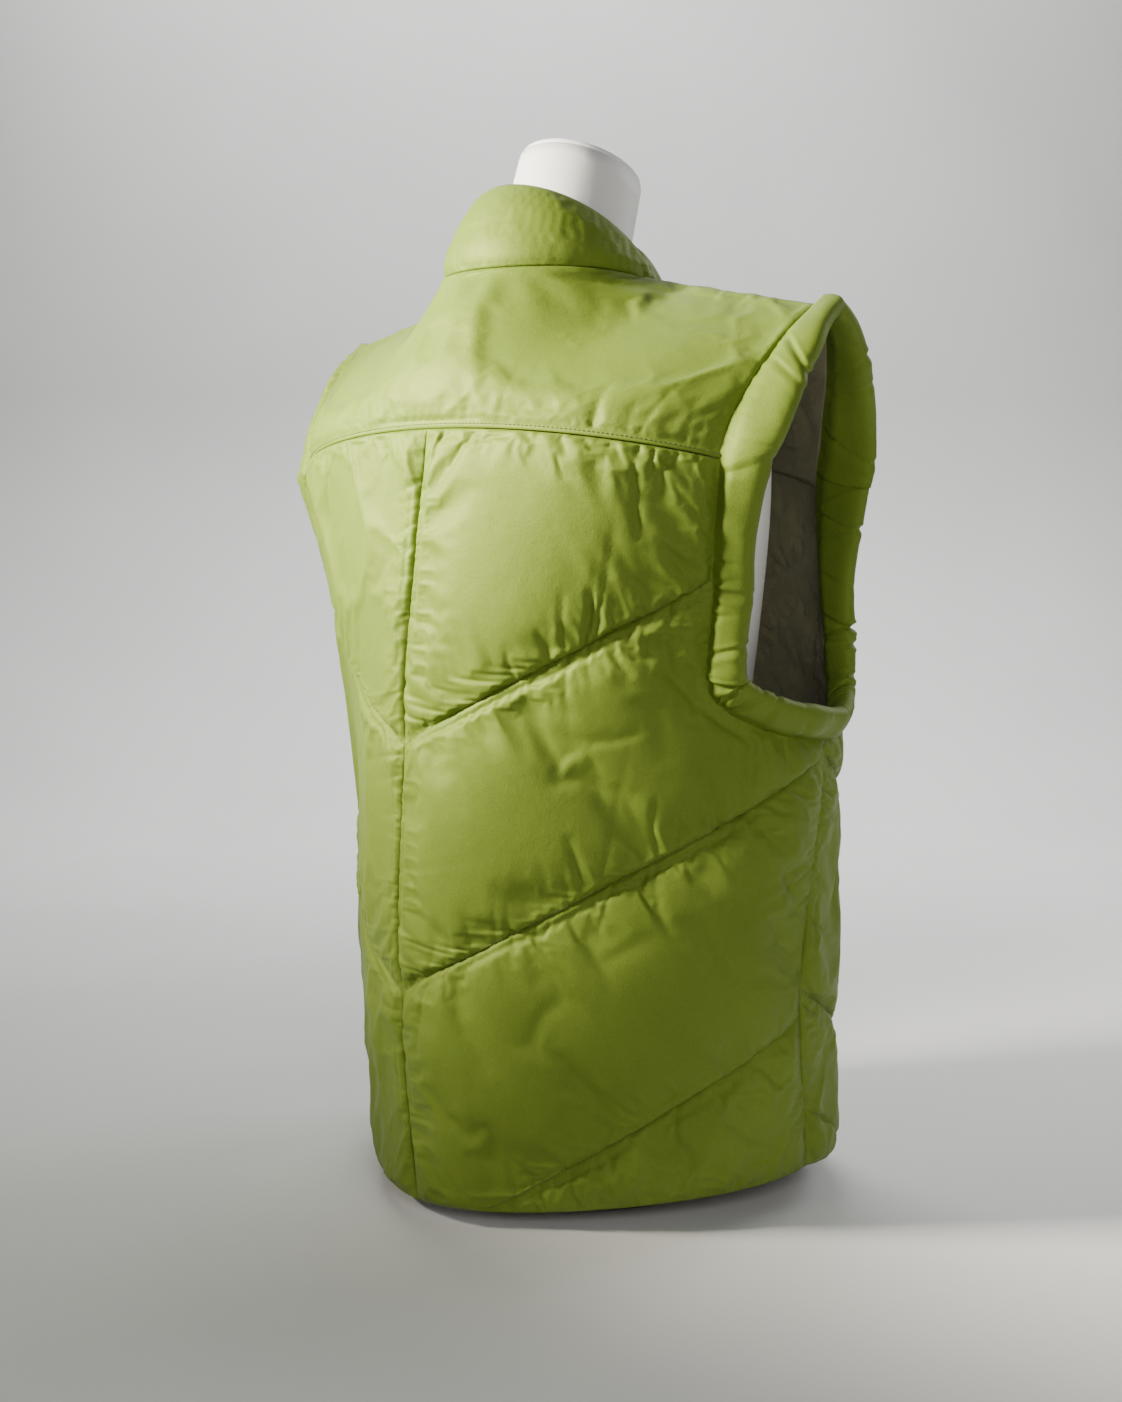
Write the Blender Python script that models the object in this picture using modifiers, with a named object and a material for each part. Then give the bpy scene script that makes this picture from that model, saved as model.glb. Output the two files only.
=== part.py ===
"""Puffer vest with a stand collar, worn by a limbless dress form on a low floor plate.

Units are metres, +Z is up, the wearer faces -Y and the wearer's right is -X.  The
origin is the middle of the floor plate's underside.  Each cloth piece is a flat
pattern that is laid on the vest's inner surface and padded outwards: thin along its
seams and quilt lines, thick in between.
"""
import bpy
import bmesh
from math import asin, atan2, cos, exp, hypot, pi, radians, sin, sqrt
from mathutils import Matrix, Vector
from mathutils.geometry import delaunay_2d_cdt
import numpy as np

# ---------------------------------------------------------------- driving dimensions

# Level cuts through the body of the vest, on its inner side.  Columns: height, half
# width, depth from middle to centre back, y of the middle, pointedness of the back,
# and how far the centre-back seam has slipped round towards the wearer's left.
CUTS = (
    (0.016, 0.191, 0.211, -0.074, 0.185, 0.009),
    (0.176, 0.207, 0.185, -0.047, 0.171, 0.026),
    (0.356, 0.214, 0.176, -0.038, 0.190, 0.022),
    (0.576, 0.237, 0.146, -0.010, -0.030, 0.000),
)
FRONT_DEPTH = 0.144          # from the middle to the centre front, at every height
SIDE_SEAM = ((0.016, 0.319), (0.176, 0.320), (0.356, 0.346))  # height, run from centre back

HEM_HEIGHT = 0.012           # at the centre back
HEM_RISE = 0.0165            # how much higher it is at 0.30 m round from there
BACK_YOKE_HEIGHT = 0.587     # yoke seam at the centre back
FRONT_YOKE_HEIGHT = 0.572    # yoke seam at the zip
YOKE_DROP = 0.024            # how much lower each yoke seam meets the armhole
HEM_LEVEL = 0.030            # level cut on which the length of the hem is measured
BACK_WIDTH = 0.230           # centre back to armhole, along the back yoke seam
FRONT_WIDTH = 0.178          # zip to armhole, along the front yoke seam

QUILT_SLOPE = 0.55           # rise of a quilt line for each metre round the body
QUILT_TOP = 0.3545           # where the top line meets the centre back
QUILT_STEP = 0.187           # from one line down to the next
FRONT_QUILT_TOP = 0.410      # where the front's top line meets the zip

# Armhole edge on the body, from the yoke seam to the underarm.  Columns: run from the
# centre back (or from the zip), height.
BACK_ARMHOLE = (
    (0.2300, 0.5630), (0.2290, 0.5150), (0.2315, 0.4700), (0.2310, 0.4250),
    (0.2350, 0.4010), (0.2490, 0.3860), (0.2750, 0.3740), (0.3110, 0.3655),
)
FRONT_ARMHOLE = (
    (0.1780, 0.5480), (0.1740, 0.5050), (0.1730, 0.4600), (0.1780, 0.4180),
    (0.1880, 0.3930), (0.2010, 0.3770), (0.2160, 0.3680),
)
UNDERARM_HEIGHT = 0.362

SHOULDER_TIP = (0.231, -0.020, 0.672)   # where the shoulder seam meets the armhole
NECK_RADIUS = 0.081          # collar seam, at the back and sides
NECK_FRONT_REACH = 0.090
NECK_BACK_HEIGHT = 0.7075
NECK_FRONT_DROP = 0.067
NECK_DROP_POWER = 4          # the drop is nearly all in front of the shoulders
SHOULDER_TURN = radians(100.0)  # where the shoulder seam meets the collar seam, from the back
NECK_SHARE = 0.36            # part of a yoke's width that ends on the collar seam
NECK_CLIMB = 0.85            # how steeply the yokes meet the collar
SHOULDER_CLIMB = 0.55        # how steeply they meet along the shoulder seam
CLIMB_SHARES = (0.108, 0.576)   # the slope changes from one to the other between these shares
SHOULDER_ARCH = 0.002
YOKE_FULLNESS = 0.75

COLLAR_BULGE = 0.005
COLLAR_TOP_RADIUS = 0.064
COLLAR_TOP_SHIFT = -0.010    # the top edge leans forwards
COLLAR_HEIGHT = 0.064        # at the back
COLLAR_FRONT_FALL = 0.076    # the top edge's fall from back to front

SEAM = 0.0025                # thickness of the cloth where it is stitched
CROWN = 0.0130               # thickness in the middle of a padded panel
YOKE_CROWN = 0.0130
COLLAR_CROWN = 0.0090
RISE_WIDTH = 0.060           # distance from a seam over which the padding fills out
RISE_POWER = 2.3
FOLD_WIDTH = 0.011           # half width of a large fold in the padding

# The largest folds.  Columns: run and height of one end, run and height of the other,
# share of the thickness that the fold takes away.  Runs of a front are from the zip.
FOLDS = {
    ("back", -1): (
        (0.173, 0.551, 0.176, 0.514, 0.50), (0.188, 0.509, 0.212, 0.487, 0.40),
        (0.197, 0.411, 0.222, 0.396, 0.50), (0.165, 0.362, 0.198, 0.372, 0.45),
        (0.200, 0.322, 0.205, 0.297, 0.50), (0.230, 0.342, 0.239, 0.316, 0.50),
        (0.138, 0.295, 0.149, 0.266, 0.50), (0.236, 0.226, 0.262, 0.182, 0.30),
        (0.110, 0.140, 0.130, 0.175, 0.30),
    ),
    ("back", 1): (
        (0.128, 0.548, 0.131, 0.512, 0.45), (0.203, 0.414, 0.224, 0.398, 0.45),
        (0.170, 0.318, 0.178, 0.286, 0.50), (0.224, 0.344, 0.234, 0.316, 0.45),
        (0.120, 0.180, 0.142, 0.210, 0.30),
    ),
    ("front", -1): (
        (0.062, 0.548, 0.064, 0.512, 0.45), (0.112, 0.330, 0.118, 0.300, 0.45),
        (0.190, 0.262, 0.214, 0.226, 0.30),
    ),
    ("front", 1): (
        (0.088, 0.546, 0.091, 0.514, 0.45), (0.132, 0.344, 0.139, 0.314, 0.45),
        (0.180, 0.236, 0.206, 0.204, 0.30),
    ),
}

BAND_WIDTH = 0.030
BAND_SWELL = {"back": (0.014, 0.600), "front": (0.022, 0.580)}  # extra width, at a height
BAND_SWELL_SPREAD = 0.048
BAND_TAPER = 0.006           # how much narrower it is on the shoulder
BAND_TAPER_HEIGHT = 0.640    # where it begins to narrow
BAND_TURN = 0.045            # its ends turn to face each other over this length
BAND_THICKNESS = 0.022
BAND_SIDES = 12
ARMHOLE_MIDDLE = (-0.035, 0.500)    # y and height of the middle of an armhole
BAND_LEAN = {"back": 0.5, "front": 0.3, "underarm": 1.3, "shoulder": 0.1}

# Rings of the dress form.  Columns: height, half width, half depth, y of the middle,
# forward tilt in degrees.
FORM_RINGS = (
    (0.120, 0.150, 0.108, -0.040, 0), (0.200, 0.158, 0.114, -0.040, 0),
    (0.300, 0.137, 0.100, -0.034, 0), (0.390, 0.148, 0.112, -0.036, 0),
    (0.470, 0.166, 0.112, -0.028, 0), (0.540, 0.184, 0.102, -0.018, 0),
    (0.590, 0.191, 0.084, -0.012, 0), (0.630, 0.192, 0.058, -0.013, 0),
    (0.650, 0.189, 0.044, -0.014, 0), (0.663, 0.180, 0.034, -0.015, 0),
    (0.672, 0.160, 0.028, -0.015, 0), (0.679, 0.134, 0.026, -0.015, 0),
    (0.685, 0.104, 0.028, -0.014, 0), (0.691, 0.083, 0.034, -0.012, 0),
    (0.700, 0.068, 0.040, -0.010, 0), (0.716, 0.057, 0.047, -0.010, 3),
    (0.738, 0.0525, 0.0500, -0.014, 9), (0.763, 0.0510, 0.0502, -0.022, 17),
    (0.791, 0.0496, 0.0496, -0.031, 23),
)
FORM_SIDES = 32
POLE_SIDES = 24
BASE_SIDES = 48
CAP_THICKNESS = 0.004
CAP_INSET = 0.0012
POLE_RADIUS = 0.0125
BASE_RADIUS = 0.120
BASE_THICKNESS = 0.008
STAND_Y = -0.040

GAP = 0.0003                 # between pieces that meet
SMALL_STEP = 0.004           # run over which a slope on the body is measured
SMALL_SHARE = 0.03           # the same on a yoke, as a share
CURVE_STEPS = 240            # points round a level cut
CUT_MARGINS = (0.02, 0.04)   # the cuts' curves run on this far below and above them
CELL = 0.028                 # size of the triangles of a panel
LOOSE_SHARE = 0.45           # share of a cell kept clear beside a row of points
ROW_SLACK = 0.0005           # points this near a row's distance belong to it
MERGE = 0.00005              # flat points this close are one
QUILT_CELL = 0.025           # size of the steps along a seam or quilt line
QUILT_LINES = 3
ARMHOLE_STEPS = 2            # points from one row of an armhole table to the next
QUILT_END = 0.002            # a quilt line stops this far from the seams
LONGEST_RUN = 0.40
CENTRE_ROWS = 22             # steps up a centre edge
NECK_COLUMNS = 6
SHOULDER_COLUMNS = 5
YOKE_ROWS = 8
SEAM_SHARE = 0.001           # share of a yoke's height that its seams take
NEAR_SHARE = 0.04            # a yoke's rows beside its seams are this share away
YOKE_RISES = [SEAM_SHARE, NEAR_SHARE] + [k / YOKE_ROWS for k in range(1, YOKE_ROWS)]
YOKE_RISES += [1 - NEAR_SHARE, 1 - SEAM_SHARE]
BEND_SHARE = 0.08            # the zip cuts the corner where the collar rises, by this share
COLLAR_RISES = (0.005, 0.10, 0.30, 0.50, 0.70, 0.90, 1.0)
GROOVE = 0.0065              # half width of the pinched strip along a quilt line
AXIS_Y = -0.03               # a line up the middle of the body
TOP_FROM = 0.62              # above this the cloth begins to face upwards
TOP_LIFT = 4.4               # how fast it does
LEVEL_ENOUGH = 0.8           # a surface whose normal rises this much is a top
SMOOTH_ANGLE = radians(50)   # sharper edges are shaded as edges

ZIP_HALF = 0.0068            # from the middle of the zip to the edge of a front
CHAIN_HALF = 0.0026
TAPE_THICKNESS = 0.0012
CHAIN_THICKNESS = 0.0026
BODY_ZIP_ROWS = 20
YOKE_ZIP_ROWS = 7
COLLAR_ZIP_ROWS = 5
COLLAR_ZIP_TOP = 0.995       # share of the collar's height at which the zip ends

SLIDER_WIDTH = 0.0096
SLIDER_LENGTH = 0.0105
SLIDER_THICKNESS = 0.0034
SLIDER_RISE = 0.80           # its place on the collar's height
SLIDER_SPAN = 0.1            # its tilt is measured this far either way
ROD_SIDES = 16
PIN_RADIUS = 0.0008
PIN_STAND = 0.0030           # from the slider's face out to the pin's middle
EAR_THICKNESS = 0.0013
EYE_RADIUS = 0.0022
EYE_HOLE = 0.0012
EYE_WIDTH = 0.0034
PULL_WIDTH = 0.0062
PULL_LENGTH = 0.024
PULL_THICKNESS = 0.0015

SLIDER_CLEAR = 0.0004        # extra room between the slider and the teeth
TAB_DROP = 0.0016            # from the eye's hole down to the tab
QUARTER_TURN = Matrix.Rotation(pi / 2, 3, "Y")

# Colour, roughness and metallic of each material.
MATERIALS = {
    "olive_shell": ((0.36, 0.42, 0.13, 1.0), 0.45, 0.0),
    "form_white": ((0.82, 0.82, 0.80, 1.0), 0.60, 0.0),
    "stand_dark": ((0.08, 0.09, 0.05, 1.0), 0.50, 0.0),
    "zip_tape": ((0.16, 0.19, 0.07, 1.0), 0.80, 0.0),
    "zip_metal": ((0.55, 0.55, 0.53, 1.0), 0.30, 0.9),
}


# ---------------------------------------------------------------- the vest's surface

def smooth_column(rows, column, height):
    """Value of one column at a height, on a smooth curve through the rows."""
    keys = [row[0] for row in rows]
    height = min(max(height, keys[0] - CUT_MARGINS[0]), keys[-1] + CUT_MARGINS[1])
    values = [row[column] for row in rows]
    slopes = np.gradient(values, keys)
    i = min(max(int(np.searchsorted(keys, height)) - 1, 0), len(keys) - 2)
    span = keys[i + 1] - keys[i]
    t = (height - keys[i]) / span
    return ((2 * t**3 - 3 * t**2 + 1) * values[i] + (t**3 - 2 * t**2 + t) * span * slopes[i]
            + (3 * t**2 - 2 * t**3) * values[i + 1] + (t**3 - t**2) * span * slopes[i + 1])


def cut_curve(height):
    """A level cut: x, y and the run from the centre back of points all round it."""
    half_width, depth, middle, point, slip = (smooth_column(CUTS, i, height) for i in range(1, 6))
    turn = np.linspace(-pi, pi, CURVE_STEPS + 1)
    back = np.cos(turn) > 0
    k = np.where(back, point, 0.0)
    x = half_width * ((1 - k) * np.sin(turn) + k * np.sin(turn)**3)
    y = middle + np.where(back, depth, FRONT_DEPTH) * ((1 - k) * np.cos(turn) + k * np.cos(turn)**3)
    run = np.concatenate(([0.0], np.cumsum(np.hypot(np.diff(x), np.diff(y)))))
    return x, y, run - run[CURVE_STEPS // 2] - slip


def on_body(run, height):
    """Point of the inner surface; run is from the centre back, + to the wearer's left."""
    x, y, runs = cut_curve(height)
    length = runs[-1] - runs[0]
    run = (run - runs[0]) % length + runs[0]
    return Vector((np.interp(run, runs, x), np.interp(run, runs, y), height))


def half_girth(height):
    runs = cut_curve(height)[2]
    return (runs[-1] - runs[0]) / 2


def side_run(height):
    """Run from the centre back to the side seam."""
    return smooth_column(SIDE_SEAM, 1, height)


def hem_height(run):
    return HEM_HEIGHT + HEM_RISE * (run / 0.30)**2


def front_hem_height(run):
    """Hem of a front, at a run from the zip; it meets the back's hem at the side seam."""
    side = half_girth(HEM_LEVEL) - side_run(HEM_LEVEL)
    return HEM_HEIGHT + (hem_height(side_run(HEM_LEVEL)) - HEM_HEIGHT) * (run / side)**2


def yoke_height(share, top):
    """Height of a yoke seam; share is 0 at the centre and 1 at the armhole."""
    return top - YOKE_DROP * share**2


def neck_point(turn, outside=0.0):
    """Collar seam, turned from the centre back towards the wearer's left."""
    height = NECK_BACK_HEIGHT - NECK_FRONT_DROP * ((1 - cos(turn)) / 2)**NECK_DROP_POWER
    reach = NECK_RADIUS if cos(turn) > 0 else NECK_FRONT_REACH
    return Vector(((NECK_RADIUS + outside) * sin(turn), (reach + outside) * cos(turn), height))


def shoulder_line(share, side):
    """Shoulder seam from the collar seam, share 0, to the armhole, share 1."""
    start = neck_point(side * SHOULDER_TURN, SEAM + GAP)
    end = Vector((side * SHOULDER_TIP[0], SHOULDER_TIP[1], SHOULDER_TIP[2]))
    return start.lerp(end, share) + Vector((0, 0, SHOULDER_ARCH * share * (1 - share)))


def bow(start, start_pull, end, end_pull, t):
    """Cubic curve from start to end that leaves and arrives along the two pulls."""
    return ((2 * t**3 - 3 * t**2 + 1) * start + (t**3 - 2 * t**2 + t) * start_pull
            + (3 * t**2 - 2 * t**3) * end + (t**3 - t**2) * end_pull)


def ease(low, high, value):
    t = min(max((value - low) / (high - low), 0.0), 1.0)
    return t * t * (3 - 2 * t)


def neck_turn(share, front):
    """Where on the collar seam a yoke's column ends, turned from the centre back."""
    if not front:
        return share / NECK_SHARE * SHOULDER_TURN
    edge = ZIP_HALF / FRONT_WIDTH
    if share <= edge:
        return zip_turn(share * FRONT_WIDTH)
    edge_turn = zip_turn(ZIP_HALF)
    return edge_turn + (SHOULDER_TURN - edge_turn) * (share - edge) / (NECK_SHARE - edge)


def zip_turn(across):
    """Turn from the centre back of a point of the collar this far across from the zip."""
    return pi - asin(across / NECK_RADIUS)


def yoke_point(share, rise, side, front):
    """Inner surface of a yoke: share across from centre to armhole, rise from its seam up."""
    if front:
        height = yoke_height(share, FRONT_YOKE_HEIGHT)
        low = on_body(side * (half_girth(height) - share * FRONT_WIDTH), height)
    else:
        low = on_body(side * share * BACK_WIDTH, yoke_height(share, BACK_YOKE_HEIGHT))
    if share <= NECK_SHARE:
        high = neck_point(side * neck_turn(share, front), SEAM + GAP)
    else:
        high = shoulder_line((share - NECK_SHARE) / (1 - NECK_SHARE), side)
    over = ease(CLIMB_SHARES[0], CLIMB_SHARES[1], share)
    towards = 1.0 if front else -1.0
    climb = (1 - over) * NECK_CLIMB + over * SHOULDER_CLIMB
    length = (high - low).length
    arrive = Vector((0, towards, climb)).normalized() * length * YOKE_FULLNESS
    return bow(low, Vector((0, 0, length * YOKE_FULLNESS)), high, arrive, rise)


def collar_point(turn, rise):
    """Inner surface of the collar: turn from the centre back, rise from its seam up."""
    low = neck_point(turn)
    top = NECK_BACK_HEIGHT + COLLAR_HEIGHT - COLLAR_FRONT_FALL * (1 - cos(turn)) / 2
    high = Vector((COLLAR_TOP_RADIUS * sin(turn), COLLAR_TOP_SHIFT + COLLAR_TOP_RADIUS * cos(turn), top))
    outward = Vector((sin(turn), cos(turn), 0))
    return low.lerp(high, rise) + outward * COLLAR_BULGE * sin(pi * rise)


# ---------------------------------------------------------------- armhole edges

def refine(rows, times):
    """The rows with more points put between them, on a smooth curve."""
    rows = [np.array(row) for row in rows]
    fine = []
    for i in range(len(rows) - 1):
        before = rows[max(i - 1, 0)]
        after = rows[min(i + 2, len(rows) - 1)]
        for k in range(times):
            t = k / times
            fine.append(bow(rows[i], (rows[i + 1] - before) / 2, rows[i + 1], (after - rows[i]) / 2, t))
    return fine + [rows[-1]]


def back_armhole():
    """Armhole edge of a back panel as (run, height), from the yoke seam to the underarm."""
    end = side_run(UNDERARM_HEIGHT)
    return refine(BACK_ARMHOLE + ((end, UNDERARM_HEIGHT),), ARMHOLE_STEPS)


def front_armhole():
    end = half_girth(UNDERARM_HEIGHT) - side_run(UNDERARM_HEIGHT)
    return refine(FRONT_ARMHOLE + ((end, UNDERARM_HEIGHT),), ARMHOLE_STEPS)


def armhole_edge(side, front):
    """Points and outward normals from the shoulder down to the underarm."""
    found = []
    for rise in reversed(YOKE_RISES):
        point = yoke_point(1.0, rise, side, front)
        across = point - yoke_point(1 - SMALL_SHARE, rise, side, front)
        above = yoke_point(1.0, min(rise + SMALL_SHARE, 1.0), side, front)
        up = above - yoke_point(1.0, max(rise - SMALL_SHARE, 0.0), side, front)
        found.append((point, facing_out(across.cross(up), point)))
    table = front_armhole() if front else back_armhole()
    for run, height in table[1:]:
        if front:
            run = half_girth(height) - run
        point = on_body(side * run, height)
        across = on_body(side * run + SMALL_STEP, height) - on_body(side * run - SMALL_STEP, height)
        found.append((point, facing_out(across.cross(Vector((0, 0, 1))), point)))
    return found


def facing_out(normal, point):
    """The normal, made to point away from the body's middle line."""
    normal = normal.normalized()
    outward = Vector((point.x, point.y, 0.0))
    if abs(normal.z) > LEVEL_ENOUGH:
        outward = Vector((0, 0, 1))
    return normal if normal.dot(outward) > 0 else -normal


# ---------------------------------------------------------------- making solids

def new_material(name):
    colour, roughness, metallic = MATERIALS[name]
    material = bpy.data.materials.new(name)
    material.use_nodes = True
    shader = material.node_tree.nodes["Principled BSDF"]
    shader.inputs["Base Color"].default_value = colour
    shader.inputs["Roughness"].default_value = roughness
    shader.inputs["Metallic"].default_value = metallic
    material.diffuse_color = colour
    return material


def add_object(name, mesh, material):
    thing = bpy.data.objects.new(name, mesh)
    mesh.materials.append(material)
    mesh.shade_smooth()
    mesh.set_sharp_from_angle(angle=SMOOTH_ANGLE)
    parts.objects.link(thing)
    return thing


def mesh_from(name, points, faces, outward=None):
    """A mesh of the faces; outward turns an open sheet's faces away from the body."""
    mesh = bpy.data.meshes.new(name)
    mesh.from_pydata([tuple(point) for point in points], [], faces)
    form = bmesh.new()
    form.from_mesh(mesh)
    if outward is None:
        bmesh.ops.recalc_face_normals(form, faces=form.faces)
    else:
        facing = 0.0
        for face in form.faces:
            facing += face.calc_area() * face.normal.dot(outward(face.calc_center_median()))
        if facing < 0:
            bmesh.ops.reverse_faces(form, faces=form.faces)
    form.to_mesh(mesh)
    form.free()
    return mesh


def away(point):
    """Direction away from a line up the middle of the body, for sheets round it."""
    return Vector((point.x, point.y - AXIS_Y, TOP_LIFT * max(point.z - TOP_FROM, 0)))


def padding(distance, crown):
    """Thickness of a padded piece at a distance from its nearest seam."""
    full = 1 - (1 - min(distance / RISE_WIDTH, 1.0))**RISE_POWER
    return SEAM + (crown - SEAM) * full


def pad_piece(name, points, faces, thicknesses, material):
    """A closed padded piece: the sheet of points, thickened outwards point by point."""
    sheet = add_object(name, mesh_from(name, points, faces, away), material)
    most = max(thicknesses)
    group = sheet.vertex_groups.new(name="padding")
    for index, thickness in enumerate(thicknesses):
        group.add([index], thickness / most, "REPLACE")
    wall = sheet.modifiers.new("padding", "SOLIDIFY")
    wall.thickness = most
    wall.offset = 1.0
    wall.vertex_group = group.name
    return sheet


def plain_strip(name, points, faces, thickness, material):
    sheet = add_object(name, mesh_from(name, points, faces, away), material)
    wall = sheet.modifiers.new("thickness", "SOLIDIFY")
    wall.thickness = thickness
    wall.offset = 1.0
    return sheet


def grid_faces(columns, rows, closed=False):
    """Quads of a grid whose points run up each column in turn."""
    faces = []
    for i in range(columns if closed else columns - 1):
        j = (i + 1) % columns
        for k in range(rows - 1):
            faces.append((i * rows + k, j * rows + k, j * rows + k + 1, i * rows + k + 1))
    return faces


def grid_distances(grid):
    """Distance of each point of a grid from the grid's edges, along rows and columns."""
    steps_up = np.linalg.norm(np.diff(grid, axis=1), axis=2)
    steps_across = np.linalg.norm(np.diff(grid, axis=0), axis=2)
    up = np.concatenate([np.zeros((grid.shape[0], 1)), np.cumsum(steps_up, axis=1)], axis=1)
    across = np.concatenate([np.zeros((1, grid.shape[1])), np.cumsum(steps_across, axis=0)], axis=0)
    return np.minimum(np.minimum(up, up[:, -1:] - up), np.minimum(across, across[-1:] - across))


def pad_grid(name, grid, crown, material):
    grid = np.array([[tuple(point) for point in column] for column in grid])
    thicknesses = [padding(distance, crown) for distance in grid_distances(grid).ravel()]
    points = grid.reshape(-1, 3)
    return pad_piece(name, points, grid_faces(grid.shape[0], grid.shape[1]), thicknesses, material)


# ---------------------------------------------------------------- cut patterns

def distance_to(points, segments):
    """Distance of each flat point from the nearest of the segments."""
    points = np.array(points)[:, None, :]
    starts = np.array([a for a, b in segments])[None]
    spans = np.array([b - a for a, b in segments])[None]
    t = ((points - starts) * spans).sum(2) / (spans**2).sum(2)
    nearest = starts + np.clip(t, 0, 1)[:, :, None] * spans
    return np.linalg.norm(points - nearest, axis=2).min(1)


def inside(points, outline):
    """Which flat points lie inside a closed outline."""
    points = np.array(points)
    result = np.zeros(len(points), bool)
    for a, b in zip(outline, np.roll(outline, -1, axis=0)):
        crosses = (a[1] > points[:, 1]) != (b[1] > points[:, 1])
        rise = b[1] - a[1] if b[1] != a[1] else 1.0
        result ^= crosses & (points[:, 0] < a[0] + (points[:, 1] - a[1]) * (b[0] - a[0]) / rise)
    return result


def steps_of(lines):
    """The short steps, each a pair of flat points, that the lines are made of."""
    return [pair for line in lines for pair in zip(line[:-1], line[1:])]


def rows_beside(steps, distance):
    """Flat points on both sides of each step, at this distance."""
    points = []
    for a, b in steps:
        along = (b - a) / np.linalg.norm(b - a)
        across = np.array((-along[1], along[0]))
        points += [(a + b) / 2 + across * distance, (a + b) / 2 - across * distance]
    return points


def pattern(outline, lines, folds):
    """A flat pattern cut into triangles, with rows of points beside its seams and lines.

    Returns the flat points, the triangles and each point's distance from a seam or line.
    """
    outline = np.array(outline)
    sewn = list(zip(outline, np.roll(outline, -1, axis=0))) + steps_of(lines)
    beside = rows_beside(sewn, GROOVE)
    low, high = outline.min(0), outline.max(0)
    row_height = CELL * sqrt(3) / 2
    for row in range(int((high[1] - low[1]) / row_height) + 1):
        for place in range(int((high[0] - low[0]) / CELL) + 2):
            run = low[0] + (place + 0.5 * (row % 2)) * CELL
            beside.append(np.array((run, low[1] + row * row_height)))
    beside = np.array(beside)
    distances = distance_to(beside, sewn)
    close = np.abs(distances - GROOVE) < ROW_SLACK
    loose = distances > GROOVE + LOOSE_SHARE * CELL
    clear = distance_to(beside, steps_of(folds)) > FOLD_WIDTH + LOOSE_SHARE * CELL
    chosen = list(beside[inside(beside, outline) & (close | (loose & clear))])
    for point in rows_beside(steps_of(folds), FOLD_WIDTH):
        if distance_to([point], sewn)[0] > GROOVE + ROW_SLACK:
            chosen.append(point)

    corners = [Vector(point) for point in outline]
    edges = [(i, (i + 1) % len(corners)) for i in range(len(corners))]
    for line in lines + folds:
        first = len(corners)
        corners += [Vector(point) for point in line]
        edges += [(first + i, first + i + 1) for i in range(len(line) - 1)]
    corners += [Vector(point) for point in chosen]
    flat, _, faces, *_ = delaunay_2d_cdt(corners, edges, [], 1, MERGE)
    flat = np.array([tuple(point) for point in flat])
    return flat, [tuple(face) for face in faces], distance_to(flat, sewn)


def quilt_line(level, outline):
    """Points of the slanting quilt line from this height at the centre, inside the outline."""
    runs = np.linspace(0.0, LONGEST_RUN, 401)
    within = inside(np.stack([runs, level + QUILT_SLOPE * runs], 1), np.array(outline))
    start, end = runs[within].min() + QUILT_END, runs[within].max() - QUILT_END
    count = max(int(round((end - start) * hypot(1, QUILT_SLOPE) / QUILT_CELL)), 1)
    places = [start + (end - start) * k / count for k in range(count + 1)]
    return [np.array((run, level + QUILT_SLOPE * run)) for run in places]


# ---------------------------------------------------------------- body panels

def side_heights(low):
    """Heights of the points down a side seam or a long edge, from the underarm to a hem."""
    count = int(round((UNDERARM_HEIGHT - low) / QUILT_CELL))
    return [UNDERARM_HEIGHT + (low - UNDERARM_HEIGHT) * k / count for k in range(1, count)]


def edge_heights(low, high):
    """Heights of the points up a centre edge."""
    return [low + (high - low) * k / CENTRE_ROWS for k in range(CENTRE_ROWS + 1)]


def panel_outline(front):
    """Closed outline of a body panel as (run, height), from the centre hem round to it."""
    centre = ZIP_HALF if front else GAP / 2
    hem = front_hem_height if front else hem_height
    top = FRONT_YOKE_HEIGHT if front else BACK_YOKE_HEIGHT
    width = FRONT_WIDTH if front else BACK_WIDTH
    armhole = front_armhole() if front else back_armhole()
    peak = yoke_height(centre / width, top) - GAP / 2
    outline = [(centre, height) for height in edge_heights(hem(centre), peak)]
    for share in yoke_shares(front)[1:-1]:
        outline.append((share * width, yoke_height(share, top) - GAP / 2))
    outline.append((width, armhole[0][1] - GAP / 2))
    outline += [tuple(point) for point in armhole[1:-1]]
    foot = hem(side_edge(HEM_LEVEL, front))
    for height in [UNDERARM_HEIGHT] + side_heights(foot) + [foot]:
        outline.append((side_edge(height, front) - GAP / 2, height))
    end = outline[-1][0]
    count = int(round((end - centre) / CELL))
    for k in range(1, count):
        run = end + (centre - end) * k / count
        outline.append((run, hem(run)))
    return outline


def side_edge(height, front):
    """Run of the side seam from the centre back, or from the zip."""
    if front:
        return half_girth(height) - side_run(height)
    return side_run(height)


def yoke_shares(front):
    """Where the columns of a yoke stand, as shares of its width."""
    first = ZIP_HALF / FRONT_WIDTH if front else 0.0
    near = GROOVE / (FRONT_WIDTH if front else BACK_WIDTH)
    inner = [first + (NECK_SHARE - first) * k / NECK_COLUMNS for k in range(NECK_COLUMNS)]
    outer = [NECK_SHARE + (1 - NECK_SHARE) * k / SHOULDER_COLUMNS for k in range(SHOULDER_COLUMNS + 1)]
    return sorted(inner + outer + [1 - near] + ([first + near] if front else []))


def fold_shares(flat, rows):
    """Share of the padding's thickness that the large folds leave at each flat point."""
    left = np.ones(len(flat))
    for row in rows:
        far = distance_to(flat, [(np.array(row[0:2]), np.array(row[2:4]))])
        left *= 1 - row[4] * np.exp(-(far / FOLD_WIDTH)**2)
    return left


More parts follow.
